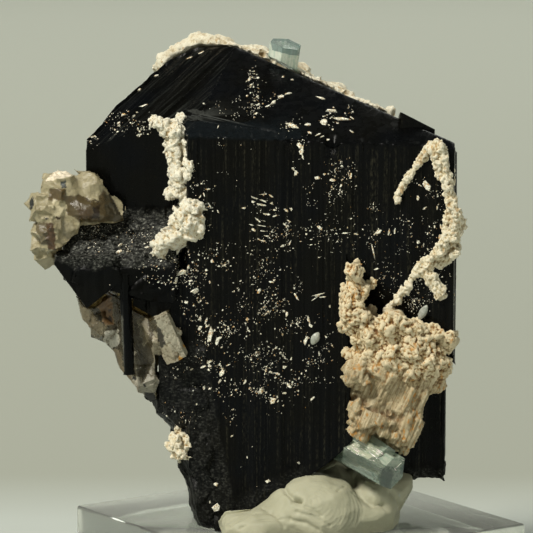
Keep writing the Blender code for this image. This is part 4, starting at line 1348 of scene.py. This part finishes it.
LUMP_OUTLINE = (
    (31, 202), (34, 197), (40, 196), (45, 195), (47, 188), (44, 182), (47, 178), (51, 175), (56, 171),
    (61, 170), (66, 174), (74, 174), (79, 171), (87, 169), (94, 171), (99, 175), (104, 183), (110, 191),
    (114, 203), (120, 212), (125, 222), (112, 226), (100, 224), (88, 222), (80, 220), (80, 230), (80, 240),
    (78, 250), (70, 250), (66, 262), (60, 265), (54, 262), (48, 254), (40, 244), (36, 235), (35, 228),
    (38, 220), (34, 212))
LUMP_BASE = Zone((), (0.52, 0.455, 0.28), 0.68)
LUMP_ZONES = (
    Zone(((64, 197), (78, 194), (96, 203), (104, 190), (124, 222), (80, 222), (68, 214)),
         (0.17, 0.125, 0.055), 0.45),
    Zone(((104, 194), (111, 195), (125, 222), (106, 222)), (0.11, 0.09, 0.045), 0.4),
    Zone(((93, 206), (99, 205), (100, 220), (92, 218)), (0.035, 0.02, 0.007), 0.5),
    Zone(((77, 208), (92, 210), (92, 219), (79, 219)), (0.12, 0.07, 0.02), 0.4),
    Zone(((49, 189), (66, 189), (66, 200), (49, 200)), (0.20, 0.14, 0.06), 0.5),
    Zone(((46, 180), (51, 174), (56, 170), (62, 169), (74, 173), (70, 176), (60, 178), (52, 181)),
         (0.90, 0.80, 0.62), 1.0),
    Zone(((51, 201), (66, 203), (67, 214), (60, 218), (53, 215)), (0.66, 0.58, 0.38), 0.95),
    Zone(((34, 198), (46, 197), (49, 215), (38, 218)), (0.46, 0.40, 0.24), 0.7),
    Zone(((35, 223), (47, 222), (48, 246), (40, 244)), (0.24, 0.19, 0.10), 0.5),
    Zone(((46, 222), (53, 224), (56, 250), (48, 250)), (0.11, 0.055, 0.016), 0.6),
    Zone(((55, 221), (74, 222), (80, 240), (70, 250), (66, 238), (56, 228)), (0.40, 0.35, 0.22), 0.8),
    Zone(((70, 240), (79, 240), (79, 250), (70, 250)), (0.30, 0.28, 0.18), 0.6),
    Zone(((50, 251), (62, 256), (66, 264), (54, 262)), (0.26, 0.22, 0.13), 0.7),
    Zone(((60, 181), (66, 180), (67, 187), (61, 188)), (0.03, 0.04, 0.035), 1.0),
    Zone(((44, 216), (50, 219), (48, 221), (45, 219)), (0.03, 0.025, 0.02), 1.0),
    Zone(((55, 215), (61, 217), (61, 220), (56, 220)), (0.06, 0.035, 0.015), 1.0),
    Zone(((82, 195), (88, 199), (99, 200), (99, 202), (88, 201)), (0.05, 0.035, 0.015), 1.0),
    Zone(((30, 199), (34, 196), (33, 212), (30, 210)), (0.015, 0.015, 0.012), 1.0),
)


def milky_lump():
    """The lump on the left of the ledge: a smooth dome with blocky crystals on its left."""
    rng = random.Random(8)

    def deep(place):
        return 0.12 + soft(*DRAWN_START, place.x) * 0.55 * (1.0 + fractal(place, 1.8, 3.0, 2))

    outside, kept = drawn_skin("left_quartz", "milky_lump", deep, (LUMP_OUTLINE,))
    blocks = Blocks()
    for _ in range(LUMP_BLOCKS):
        place, normal = rng.choice(kept)
        if soft(*BLOCKS_START, place.x) > rng.random():
            size = grain_block(rng, 0.8, 2.8)
            blocks.add(place - normal * 0.36 * size.x, random_turn(rng), size, rng)
    obj = grown(outside, "milky_lump", LUMP_VOXEL, blocks)

    def rule(place, normal):
        blocky = soft(*FACETS_START, place.x)
        return (0.08 + 0.24 * blocky) * facets(place, 1.7, 4.0) + 0.05 * fractal(place, 0.4, 2.0) - 0.06

    relief(obj, rule)
    paint_zones(obj, LUMP_BASE, LUMP_ZONES, 2.0)
    return obj


SMOKY_BASE = Zone((), (0.50, 0.42, 0.24), 0.06)
SMOKY_ZONES = (
    Zone(((133, 318), (150, 314), (157, 326), (160, 352), (148, 356), (136, 340)),
         (0.15, 0.115, 0.05), 0.35),
    Zone(((137, 320), (147, 315), (150, 340), (143, 349)), (0.33, 0.28, 0.165), 0.5),
    Zone(((74, 304), (88, 308), (106, 328), (98, 342), (86, 330)), (0.30, 0.25, 0.15), 0.5),
    Zone(((104, 297), (112, 292), (114, 325), (105, 326), (98, 307)), (0.22, 0.12, 0.045), 0.7),
    Zone(((108, 309), (112, 308), (112, 313), (108, 312)), (0.035, 0.02, 0.01), 1.0),
    Zone(((106, 317), (111, 315), (112, 322), (108, 321)), (0.035, 0.02, 0.01), 1.0),
    Zone(((105, 331), (119, 330), (120, 345), (111, 348), (103, 341)), (0.60, 0.57, 0.48), 0.95),
    Zone(((109, 347), (120, 351), (125, 371), (141, 382), (145, 396), (135, 396), (121, 378), (112, 360)),
         (0.28, 0.215, 0.125), 0.6),
    Zone(((130, 360), (133, 358), (134, 374), (131, 376)), (0.42, 0.33, 0.20), 0.7),
    Zone(((131, 376), (142, 378), (143, 388), (134, 386)), (0.55, 0.50, 0.40), 0.85),
    Zone(((155, 361), (165, 371), (161, 392), (144, 396), (138, 391), (145, 380), (150, 369)),
         (0.36, 0.335, 0.255), 0.72),
    Zone(((152, 309), (162, 306), (171, 316), (190, 344), (186, 358), (182, 367), (164, 368), (154, 360),
          (160, 350), (166, 344), (160, 330), (155, 320)), (0.52, 0.48, 0.36), 0.92),
    Zone(((154, 330), (166, 344), (178, 356), (172, 368), (158, 366), (152, 350)),
         (0.44, 0.385, 0.27), 0.85),
    Zone(((157, 326), (161, 330), (166, 344), (162, 349), (158, 340)), (0.06, 0.05, 0.03), 0.6),
    Zone(((179, 356), (183, 357), (182, 363), (178, 361)), (0.72, 0.36, 0.04), 1.0),
    Zone(((184, 342), (188, 343), (187, 348), (183, 347)), (0.72, 0.38, 0.05), 1.0),
    Zone(((142, 383), (146, 384), (147, 388), (143, 387)), (0.01, 0.01, 0.01), 1.0),
    Zone(((132, 376), (136, 377), (137, 380), (133, 380)), (0.01, 0.01, 0.01), 1.0),
    Zone(((129, 350), (135, 351), (134, 355), (129, 354)), (0.58, 0.52, 0.40), 0.95),
    Zone(((144, 393), (155, 392), (156, 400), (150, 403), (144, 400)), (0.012, 0.012, 0.010), 1.0),
)

# The ends of the frosted crystal on the cluster's right
FROSTED_FOOT = Vector((-14.0, -9.2, 33.0))
FROSTED_HEAD = Vector((-16.3, -9.3, 38.2))


def smoky_cluster():
    """The clear brown cluster with a frosted crystal on its right, its edges worn."""
    body = new_object("smoky_body", cad_copy("smoky_quartz"))
    frosted = six_sided("frosted", FROSTED_FOOT, FROSTED_HEAD, 1.55, turn=20.0)
    bm = bmesh.new()
    bm.from_mesh(unite(body, [frosted]).data)
    bpy.data.objects.remove(body, do_unlink=True)
    obj = crisp_skin("smoky_cluster", bm, 7)
    worn = iter(on_edges(obj.data, 0.4))

    def rule(place, normal):
        move = 0.10 + 0.28 * facets(place, 2.2, 5.0) + 0.05 * fractal(place, 0.5, 2.0)
        return -max(0.0, move) - (0.08 if next(worn) else 0.0)

    relief(obj, rule)
    paint_zones(obj, SMOKY_BASE, SMOKY_ZONES, 2.0)
    return obj


# Aquamarine

def worn_prism(obj, axis, chamfer):
    """Ease a prism's edges and lay lines of growth along it."""
    bm = bmesh.new()
    bm.from_mesh(obj.data)
    bmesh.ops.dissolve_limit(bm, angle_limit=0.01, verts=bm.verts, edges=bm.edges)
    edges = [edge for edge in bm.edges if edge.calc_face_angle(0.0) > 0.3]
    bmesh.ops.bevel(bm, geom=edges, offset=chamfer, segments=2, affect="EDGES", profile=0.6)
    name = obj.name
    bpy.data.objects.remove(obj, do_unlink=True)

    def rule(place, normal):
        side = ramp(0.6, 0.2, abs(normal.dot(axis)))
        wide = abs(noise.noise(stretched(place, axis, 0.34, 8.0)))
        fine = abs(noise.noise(stretched(place, axis, 0.16, 5.0)))
        wave = noise.noise(place / 1.4)
        return -0.07 * side * (wide + fine) - 0.02 * (wave + 0.6)

    return relief(crisp_skin(name, bm, 7), rule)


BUNDLE_AXIS = Vector((0.66, -0.68, -0.26)).normalized()
BUNDLE_HEAD = Vector((10.6, -14.2, 20.7))
BUNDLE_ACROSS = Vector((-0.1, 0.25, 0.9)).normalized()

# The group's prisms: name, how far foot and head lie behind the main head, how far foot and head
# lie across the axis, a move to the side, radius and turn
PRISMS = (
    ("blue_bundle", 8.4, 0.0, 0.0, 0.0, (0.0, 0.0, 0.0), 2.1, 8.0),
    ("upper", 8.0, 0.8, 2.1, 1.5, (0.0, 0.0, 0.0), 1.5, 0.0),
    ("under", 8.8, 3.6, -1.1, -1.0, (0.0, 0.0, 0.0), 1.3, 0.0),
    ("side", 4.0, 0.9, 0.0, 0.0, (1.5, 0.8, 0.7), 0.9, 0.0),
)
BUNDLE_BASE = Zone((), (0.56, 0.62, 0.50), 0.3)
BUNDLE_ZONES = (
    Zone(((356, 431), (372, 435), (398, 450), (405, 455), (398, 456), (375, 445), (354, 438)),
         (0.46, 0.51, 0.42), 0.5),
    Zone(((345, 445), (362, 440), (380, 447), (378, 456), (368, 459), (350, 450)), (0.64, 0.64, 0.49), 0.8),
    Zone(((380, 446), (398, 452), (404, 458), (398, 466), (384, 466), (378, 455)), (0.60, 0.65, 0.53), 0.7),
    Zone(((333, 456), (350, 450), (372, 463), (380, 469), (378, 473), (360, 466), (340, 462)),
         (0.26, 0.30, 0.24), 0.4),
    Zone(((340, 463), (360, 468), (378, 475), (377, 483), (365, 479), (345, 469)), (0.40, 0.47, 0.41), 0.5),
    Zone(((380, 468), (391, 468), (394, 478), (388, 491), (380, 486), (378, 478)),
         (0.20, 0.245, 0.21), 0.4),
    # Painted light on the end face, then painted shade on its right
    Zone(((394, 472), (405, 466), (404, 478), (398, 486), (389, 491)), (0.42, 0.48, 0.40), 0.5),
    Zone(((400, 465), (410, 460), (409, 470), (402, 475)), (0.20, 0.27, 0.25), 0.4),
)

# Bright slivers across the lower group's end, which paint its highlights, and how many cracks with painted
# glints run along it about a pixel
END_HIGHLIGHT_SLIVERS = (Flake(399, 465, 13, 1.6, 0), Flake(402, 460, 9, 1.0, 0), Flake(395, 469, 7, 0.8, 0))
LONG_CRACKS = 46
CRACKS_MIDDLE = (364, 450)

SINGLE_AXIS = Vector((0.14, -0.18, 0.97)).normalized()
SINGLE_BASE = Zone((), (1.0, 1.0, 0.87), 0.8)
SINGLE_ZONES = (
    Zone(((270, 38), (288, 36), (302, 44), (302, 56), (290, 55), (272, 50)), (0.44, 0.53, 0.50), 0.5),
    Zone(((275, 41), (286, 41), (296, 49), (284, 49)), (0.62, 0.70, 0.64), 0.5),
)


def aquamarine_bundle():
    """The lower aquamarine: parallel prisms that point down to the right."""
    made = []
    for name, low, high, low_across, high_across, aside, radius, turn in PRISMS:
        foot = BUNDLE_HEAD - BUNDLE_AXIS * low + BUNDLE_ACROSS * low_across + Vector(aside)
        head = BUNDLE_HEAD - BUNDLE_AXIS * high + BUNDLE_ACROSS * high_across + Vector(aside)
        made.append(six_sided(name, foot, head, radius, turn))
    bundle = worn_prism(unite(made[0], made[1:]), BUNDLE_AXIS, 0.09)
    paint_zones(bundle, BUNDLE_BASE, BUNDLE_ZONES, 1.6)
    return bundle


def bundle_cracks_and_glints(bundle):
    """Thin cracks that run along the lower aquamarine, painted bright as glints, and three bright slivers
    across its end that paint its highlights.
    """
    rng = random.Random(17)
    tree = surface_tree(bundle)
    flakes = list(END_HIGHLIGHT_SLIVERS)
    for _ in range(LONG_CRACKS):
        along = rng.uniform(-1.0, 1.0)
        across = rng.uniform(-1.0, 1.0)
        u = CRACKS_MIDDLE[0] + 15 * along - 4 * across
        v = CRACKS_MIDDLE[1] + 8 * along + 6 * across
        flakes.append(Flake(u, v, rng.uniform(3.0, 13.0), rng.uniform(0.3, 0.7), 90.0 + rng.gauss(0.0, 1.5)))
    bm = bmesh.new()
    for flake in flakes:
        place, normal = seen(tree, flake.u, flake.v)
        if place is not None:
            add_flake(bm, place - normal * 0.03, normal, BUNDLE_AXIS, flake.lean,
                      flake.length * PIXEL, flake.width * PIXEL, rng)
    return new_object("bundle_cracks_and_glints", bm)


def aquamarine_single():
    """The upper aquamarine, one prism with a sloping end."""
    body = new_object("blue_single", cad_copy("aquamarine_top"))
    single = worn_prism(body, SINGLE_AXIS, 0.1)
    paint_zones(single, SINGLE_BASE, SINGLE_ZONES, 0.5)
    return single


# Putty and block

PUTTY_VOXEL = 0.16

# The pixel under the crystal's tip where the putty's front starts, and how the front's edge rises
PUTTY_START = (214.0, 530.0)
PUTTY_RISE = 0.62

# A print's ridges: their pitch, height and middle's distance, and the depth of its hollow
RIDGE_PITCH = 0.46
RIDGE_HEIGHT = 0.022
RIDGE_MIDDLE = 2.6
HOLLOW_DEPTH = 0.12

# A finger's press: its pixel, the turn of its ridges, and its radius in millimetres
Press = namedtuple("Press", "u v turn reach")
PRESSES = [Press(338, 498, 0.1, 5.0), Press(388, 514, -0.5, 3.6), Press(412, 490, 1.1, 2.6)]

# A crease through some pixels, with its width and depth in millimetres
CREASES = [
    (((346, 472), (353, 480), (360, 489), (366, 497), (374, 503), (386, 504)), 0.70, 1.0),
    (((392, 492), (400, 500), (410, 508)), 0.45, 0.55), (((356, 474), (372, 481)), 0.3, 0.2),
    (((338, 491), (345, 486)), 0.16, 0.18), (((353, 492), (357, 495)), 0.16, 0.18),
    (((292, 503), (308, 507), (322, 516)), 0.20, 0.22), (((296, 512), (312, 516), (330, 526)), 0.20, 0.20),
    (((290, 520), (306, 523), (318, 530)), 0.22, 0.22), (((262, 508), (276, 516), (284, 526)), 0.22, 0.20),
    (((283, 484), (286, 492), (293, 499), (301, 501)), 0.26, 0.45), (((295, 499), (299, 500)), 0.30, 0.6),
    (((230, 524), (250, 514), (272, 512)), 0.18, 0.16), (((240, 528), (262, 520), (290, 518)), 0.16, 0.16),
]

# Where the putty swells to meet the crystal and the lower aquamarine
PUTTY_SWELL = Vector((4.4, -4.5, 18.8))
SWELL_HEIGHT = 1.9
SWELL_REACH = 2.3

# The putty is pinched in beyond these places along X, by these shares, on the right below some heights
PINCH_LEFT = -8.5
PINCH_RIGHT = 10.8
LEFT_SHARE = 0.62
RIGHT_SHARE = 0.70
PINCH_TOP = (18.0, 14.5)


def putty_top(u):
    """The pixel row where the putty's front starts, under the crystal's tip."""
    return PUTTY_START[1] - PUTTY_RISE * (u - PUTTY_START[0])


def pressed(offset, press, place, move):
    """A vertex's move with a finger's hollow and its ridges added."""
    distance = offset.length
    if distance < press.reach:
        low = Vector((math.cos(press.turn), 0.2, math.sin(press.turn))) * RIDGE_MIDDLE
        loop = (offset + low).length + 0.5 * noise.noise(place / 2.5)
        share = soft(press.reach, press.reach * 0.6, distance) * ramp(0.6, 2.4, distance)
        move += share * RIDGE_HEIGHT * math.sin(math.tau * loop / RIDGE_PITCH)
        move -= share * HOLLOW_DEPTH * ramp(press.reach, 0.0, distance)
    return move


def putty_lump():
    """The putty, with the ridges of the fingers that pressed it."""
    obj = even_skin("pressed_putty", cad_copy("mounting_putty"), PUTTY_VOXEL, smooth=8)
    tree = surface_tree(obj)
    prints = [(seen(tree, press.u, press.v)[0], press) for press in PRESSES]
    creases = [(seen_line(tree, pixels), wide, deep) for pixels, wide, deep in CREASES]

    def rule(place, normal):
        u, v = pixel_of(place)
        move = 0.12 * fractal(place, 3.5, 6.0, 2) + 0.04 * fractal(place, 0.7, 3.0)
        if place.y < 2.0:
            move -= 0.8 * ramp(268.0, 250.0, u) * ramp(8.0, -4.0, v - putty_top(u))
        move += SWELL_HEIGHT * math.exp(-((place - PUTTY_SWELL).length / SWELL_REACH) ** 2)
        for line, wide, deep in creases:
            away = line_distance(place, line)
            if away < 2.5 * wide:
                move -= deep * math.exp(-((away / wide) ** 2))
        for centre, press in prints:
            move = pressed(place - centre, press, place, move)
        return move

    relief(obj, rule)
    for vert in obj.data.vertices:
        left = min(0.0, vert.co.x - PINCH_LEFT)
        right = max(0.0, vert.co.x - PINCH_RIGHT) * ramp(*PINCH_TOP, vert.co.z)
        vert.co.x -= LEFT_SHARE * left + RIGHT_SHARE * right
    return obj


def clear_block():
    """The acrylic block with its chamfered edges."""
    turn = Matrix.Rotation(math.radians(BLOCK_TURN), 4, "Z")
    rise = Matrix.Translation((0.0, 0.0, BLOCK_HEIGHT / 2.0))
    size = Matrix.Diagonal((BLOCK_SIDE, BLOCK_SIDE, BLOCK_HEIGHT, 1.0))
    bm = bmesh.new()
    bmesh.ops.create_cube(bm, size=1.0, matrix=turn @ rise @ size)
    bmesh.ops.bevel(bm, geom=bm.edges[:], offset=BLOCK_CHAMFER, segments=3, affect="EDGES", profile=0.5)
    return new_object("clear_block", bm)


# Floor, light and camera

WALL = (0.60, 0.62, 0.52)
CEILING = (0.085, 0.088, 0.080)


def stage_floor():
    """A plain pale floor, a little lighter about the block than far behind it."""
    bpy.ops.mesh.primitive_plane_add(size=6.0, location=(0.0, 0.0, -0.1 * MM))
    floor = bpy.context.object
    floor.name = "floor"
    look = Finish("pale_floor")
    depth = look.node("ShaderNodeSeparateXYZ", look.place).outputs["Y"]
    tone = look.stops(
        look.spread(depth, 0.0, 0.8), (0.065, (0.46, 0.495, 0.46)), (0.10, (0.335, 0.35, 0.298)),
        (0.24, (0.365, 0.383, 0.328)), (0.88, (0.53, 0.555, 0.49)))
    look.set(Base_Color=tone, Roughness=0.8)
    floor.data.materials.append(look.material)


def lamp(name, place, target, size, power, colour):
    """A soft square light aimed at a point, in millimetres."""
    light = bpy.data.lights.new(name, "AREA")
    light.shape = "SQUARE"
    light.size = size * MM
    light.energy = power
    light.color = colour
    obj = link(bpy.data.objects.new(name, light))
    obj.location = Vector(place) * MM
    obj.rotation_euler = (Vector(target) - Vector(place)).to_track_quat("-Z", "Y").to_euler()


def studio():
    """A dim room with pale walls about the height of the table."""
    world = bpy.data.worlds.new("studio")
    world.use_nodes = True
    tree = world.node_tree
    sky = tree.nodes.new("ShaderNodeTexCoord").outputs["Generated"]
    height = tree.nodes.new("ShaderNodeSeparateXYZ")
    ramp_node = tree.nodes.new("ShaderNodeValToRGB")
    tree.links.new(sky, height.inputs[0])
    tree.links.new(height.outputs["Z"], ramp_node.inputs[0])
    tree.links.new(ramp_node.outputs[0], tree.nodes["Background"].inputs["Color"])
    low, high = ramp_node.color_ramp.elements
    low.position = 0.14
    low.color = (*WALL, 1.0)
    high.position = 0.40
    high.color = (*CEILING, 1.0)
    bpy.context.scene.world = world


def lights():
    """A soft light from the upper left front, a weak one from the right, one over the floor behind."""
    middle = (0.0, 0.0, 35.0)
    lamp("key", (-760.0, -620.0, 1180.0), middle, 330.0, 28.0, (1.0, 0.97, 0.88))
    lamp("fill", (900.0, -900.0, 500.0), middle, 500.0, 1.6, (0.96, 0.98, 0.92))
    lamp("back", (260.0, 700.0, 880.0), (0.0, 450.0, 0.0), 300.0, 2.8, (0.98, 1.0, 0.92))
    studio()


def camera():
    """The camera at the photograph's place and angle."""
    data = bpy.data.cameras.new("camera")
    data.lens = LENS
    data.sensor_width = SENSOR
    data.clip_start = 0.01
    data.clip_end = 20.0
    obj = link(bpy.data.objects.new("camera", data))
    obj.location = CAMERA_PLACE * MM
    obj.rotation_euler = (math.radians(90.0 - CAMERA_DIP), 0.0, 0.0)
    bpy.context.scene.camera = obj
    bpy.context.scene.view_settings.view_transform = "Standard"


# All pieces

# Tones of feldspar: painted shade in its creases, then between them, on its tops, and its stains
PEACH = ((0.17, 0.07, 0.015), (0.54, 0.375, 0.175), (0.90, 0.77, 0.52), (0.62, 0.27, 0.03))
PALE = ((0.50, 0.36, 0.18), (0.90, 0.81, 0.60), (0.98, 0.93, 0.77), (0.72, 0.50, 0.24))
CREAM = ((0.32, 0.20, 0.085), (0.72, 0.60, 0.37), (0.96, 0.88, 0.68), (0.66, 0.43, 0.19))
SMOOTH = ((0.42, 0.31, 0.16), (0.76, 0.66, 0.46), (0.96, 0.90, 0.72), (0.60, 0.42, 0.20))
BLADES = ((0.33, 0.235, 0.11), (0.58, 0.475, 0.29), (0.76, 0.66, 0.45))


def build_feldspar(crystal):
    """The feldspar that grows on the crystal: the mass, both veins, the patch and the crust."""
    peach = albite("peach_albite", *PEACH, BLADES)
    pale = albite("pale_albite", *PALE)
    cream = albite("cream_albite", *CREAM)
    smooth = albite("smooth_feldspar", *SMOOTH)
    finish(thin_out(albite_mass(crystal)), peach, ["albite_mass"])
    finish(thin_out(granular(LEFT_VEIN, crystal)), pale, [LEFT_VEIN.node])
    finish(thin_out(granular(RIGHT_VEIN, crystal)), cream, [RIGHT_VEIN.node])
    finish(granular(PATCH, crystal), cream, [PATCH.node])
    finish(thin_out(feldspar_crust()), smooth, ["feldspar_crust"])


def build_quartz():
    """The milky lump and the smoky cluster."""
    milky = quartz("milky_quartz", 0.16, (0.70, 0.62, 0.42), 260.0, 2.4, (0.60, 0.57, 0.52))
    smoky = quartz("smoky_quartz", 0.06, (0.455, 0.38, 0.20), 800.0, 3.8, (0.28, 0.22, 0.13))
    finish(thin_out(milky_lump()), milky, ["left_quartz"])
    finish(thin_out(smoky_cluster()), smoky, ["smoky_quartz"], sharp=25)


def build_blue():
    """Both aquamarines, and the cracks and painted highlight slivers in the lower one."""
    low = clear_blue("aquamarine_low", (0.50, 0.74, 0.76), 90.0, 0.02, BUNDLE_AXIS)
    top = clear_blue("aquamarine_top", (0.48, 0.72, 0.78), 110.0, 0.08, SINGLE_AXIS)
    bundle = aquamarine_bundle()
    cracks = bundle_cracks_and_glints(bundle)
    finish(thin_out(bundle), low, ["aquamarine_lower"], sharp=28)
    finish(cracks, glints(), sharp=20)
    finish(thin_out(aquamarine_single()), top, ["aquamarine_top"], sharp=28)


def build():
    """Make every piece, dress it and fix it to the frame."""
    camera()
    lights()
    stage_floor()
    crystal = schorl()
    flakes = pale_flakes(crystal)
    leaf = leaf_crystals(surface_tree(crystal))
    finish(flakes, fleck_white(), sharp=20)
    finish(leaf, clear_leaf())
    build_feldspar(crystal)
    finish(crystal, black_tourmaline(), ["schorl_crystal"], sharp=32)
    build_quartz()
    build_blue()
    finish(thin_out(putty_lump()), putty_finish(), ["mounting_putty"])
    finish(clear_block(), acrylic(), ["acrylic_base"], sharp=20)


build()
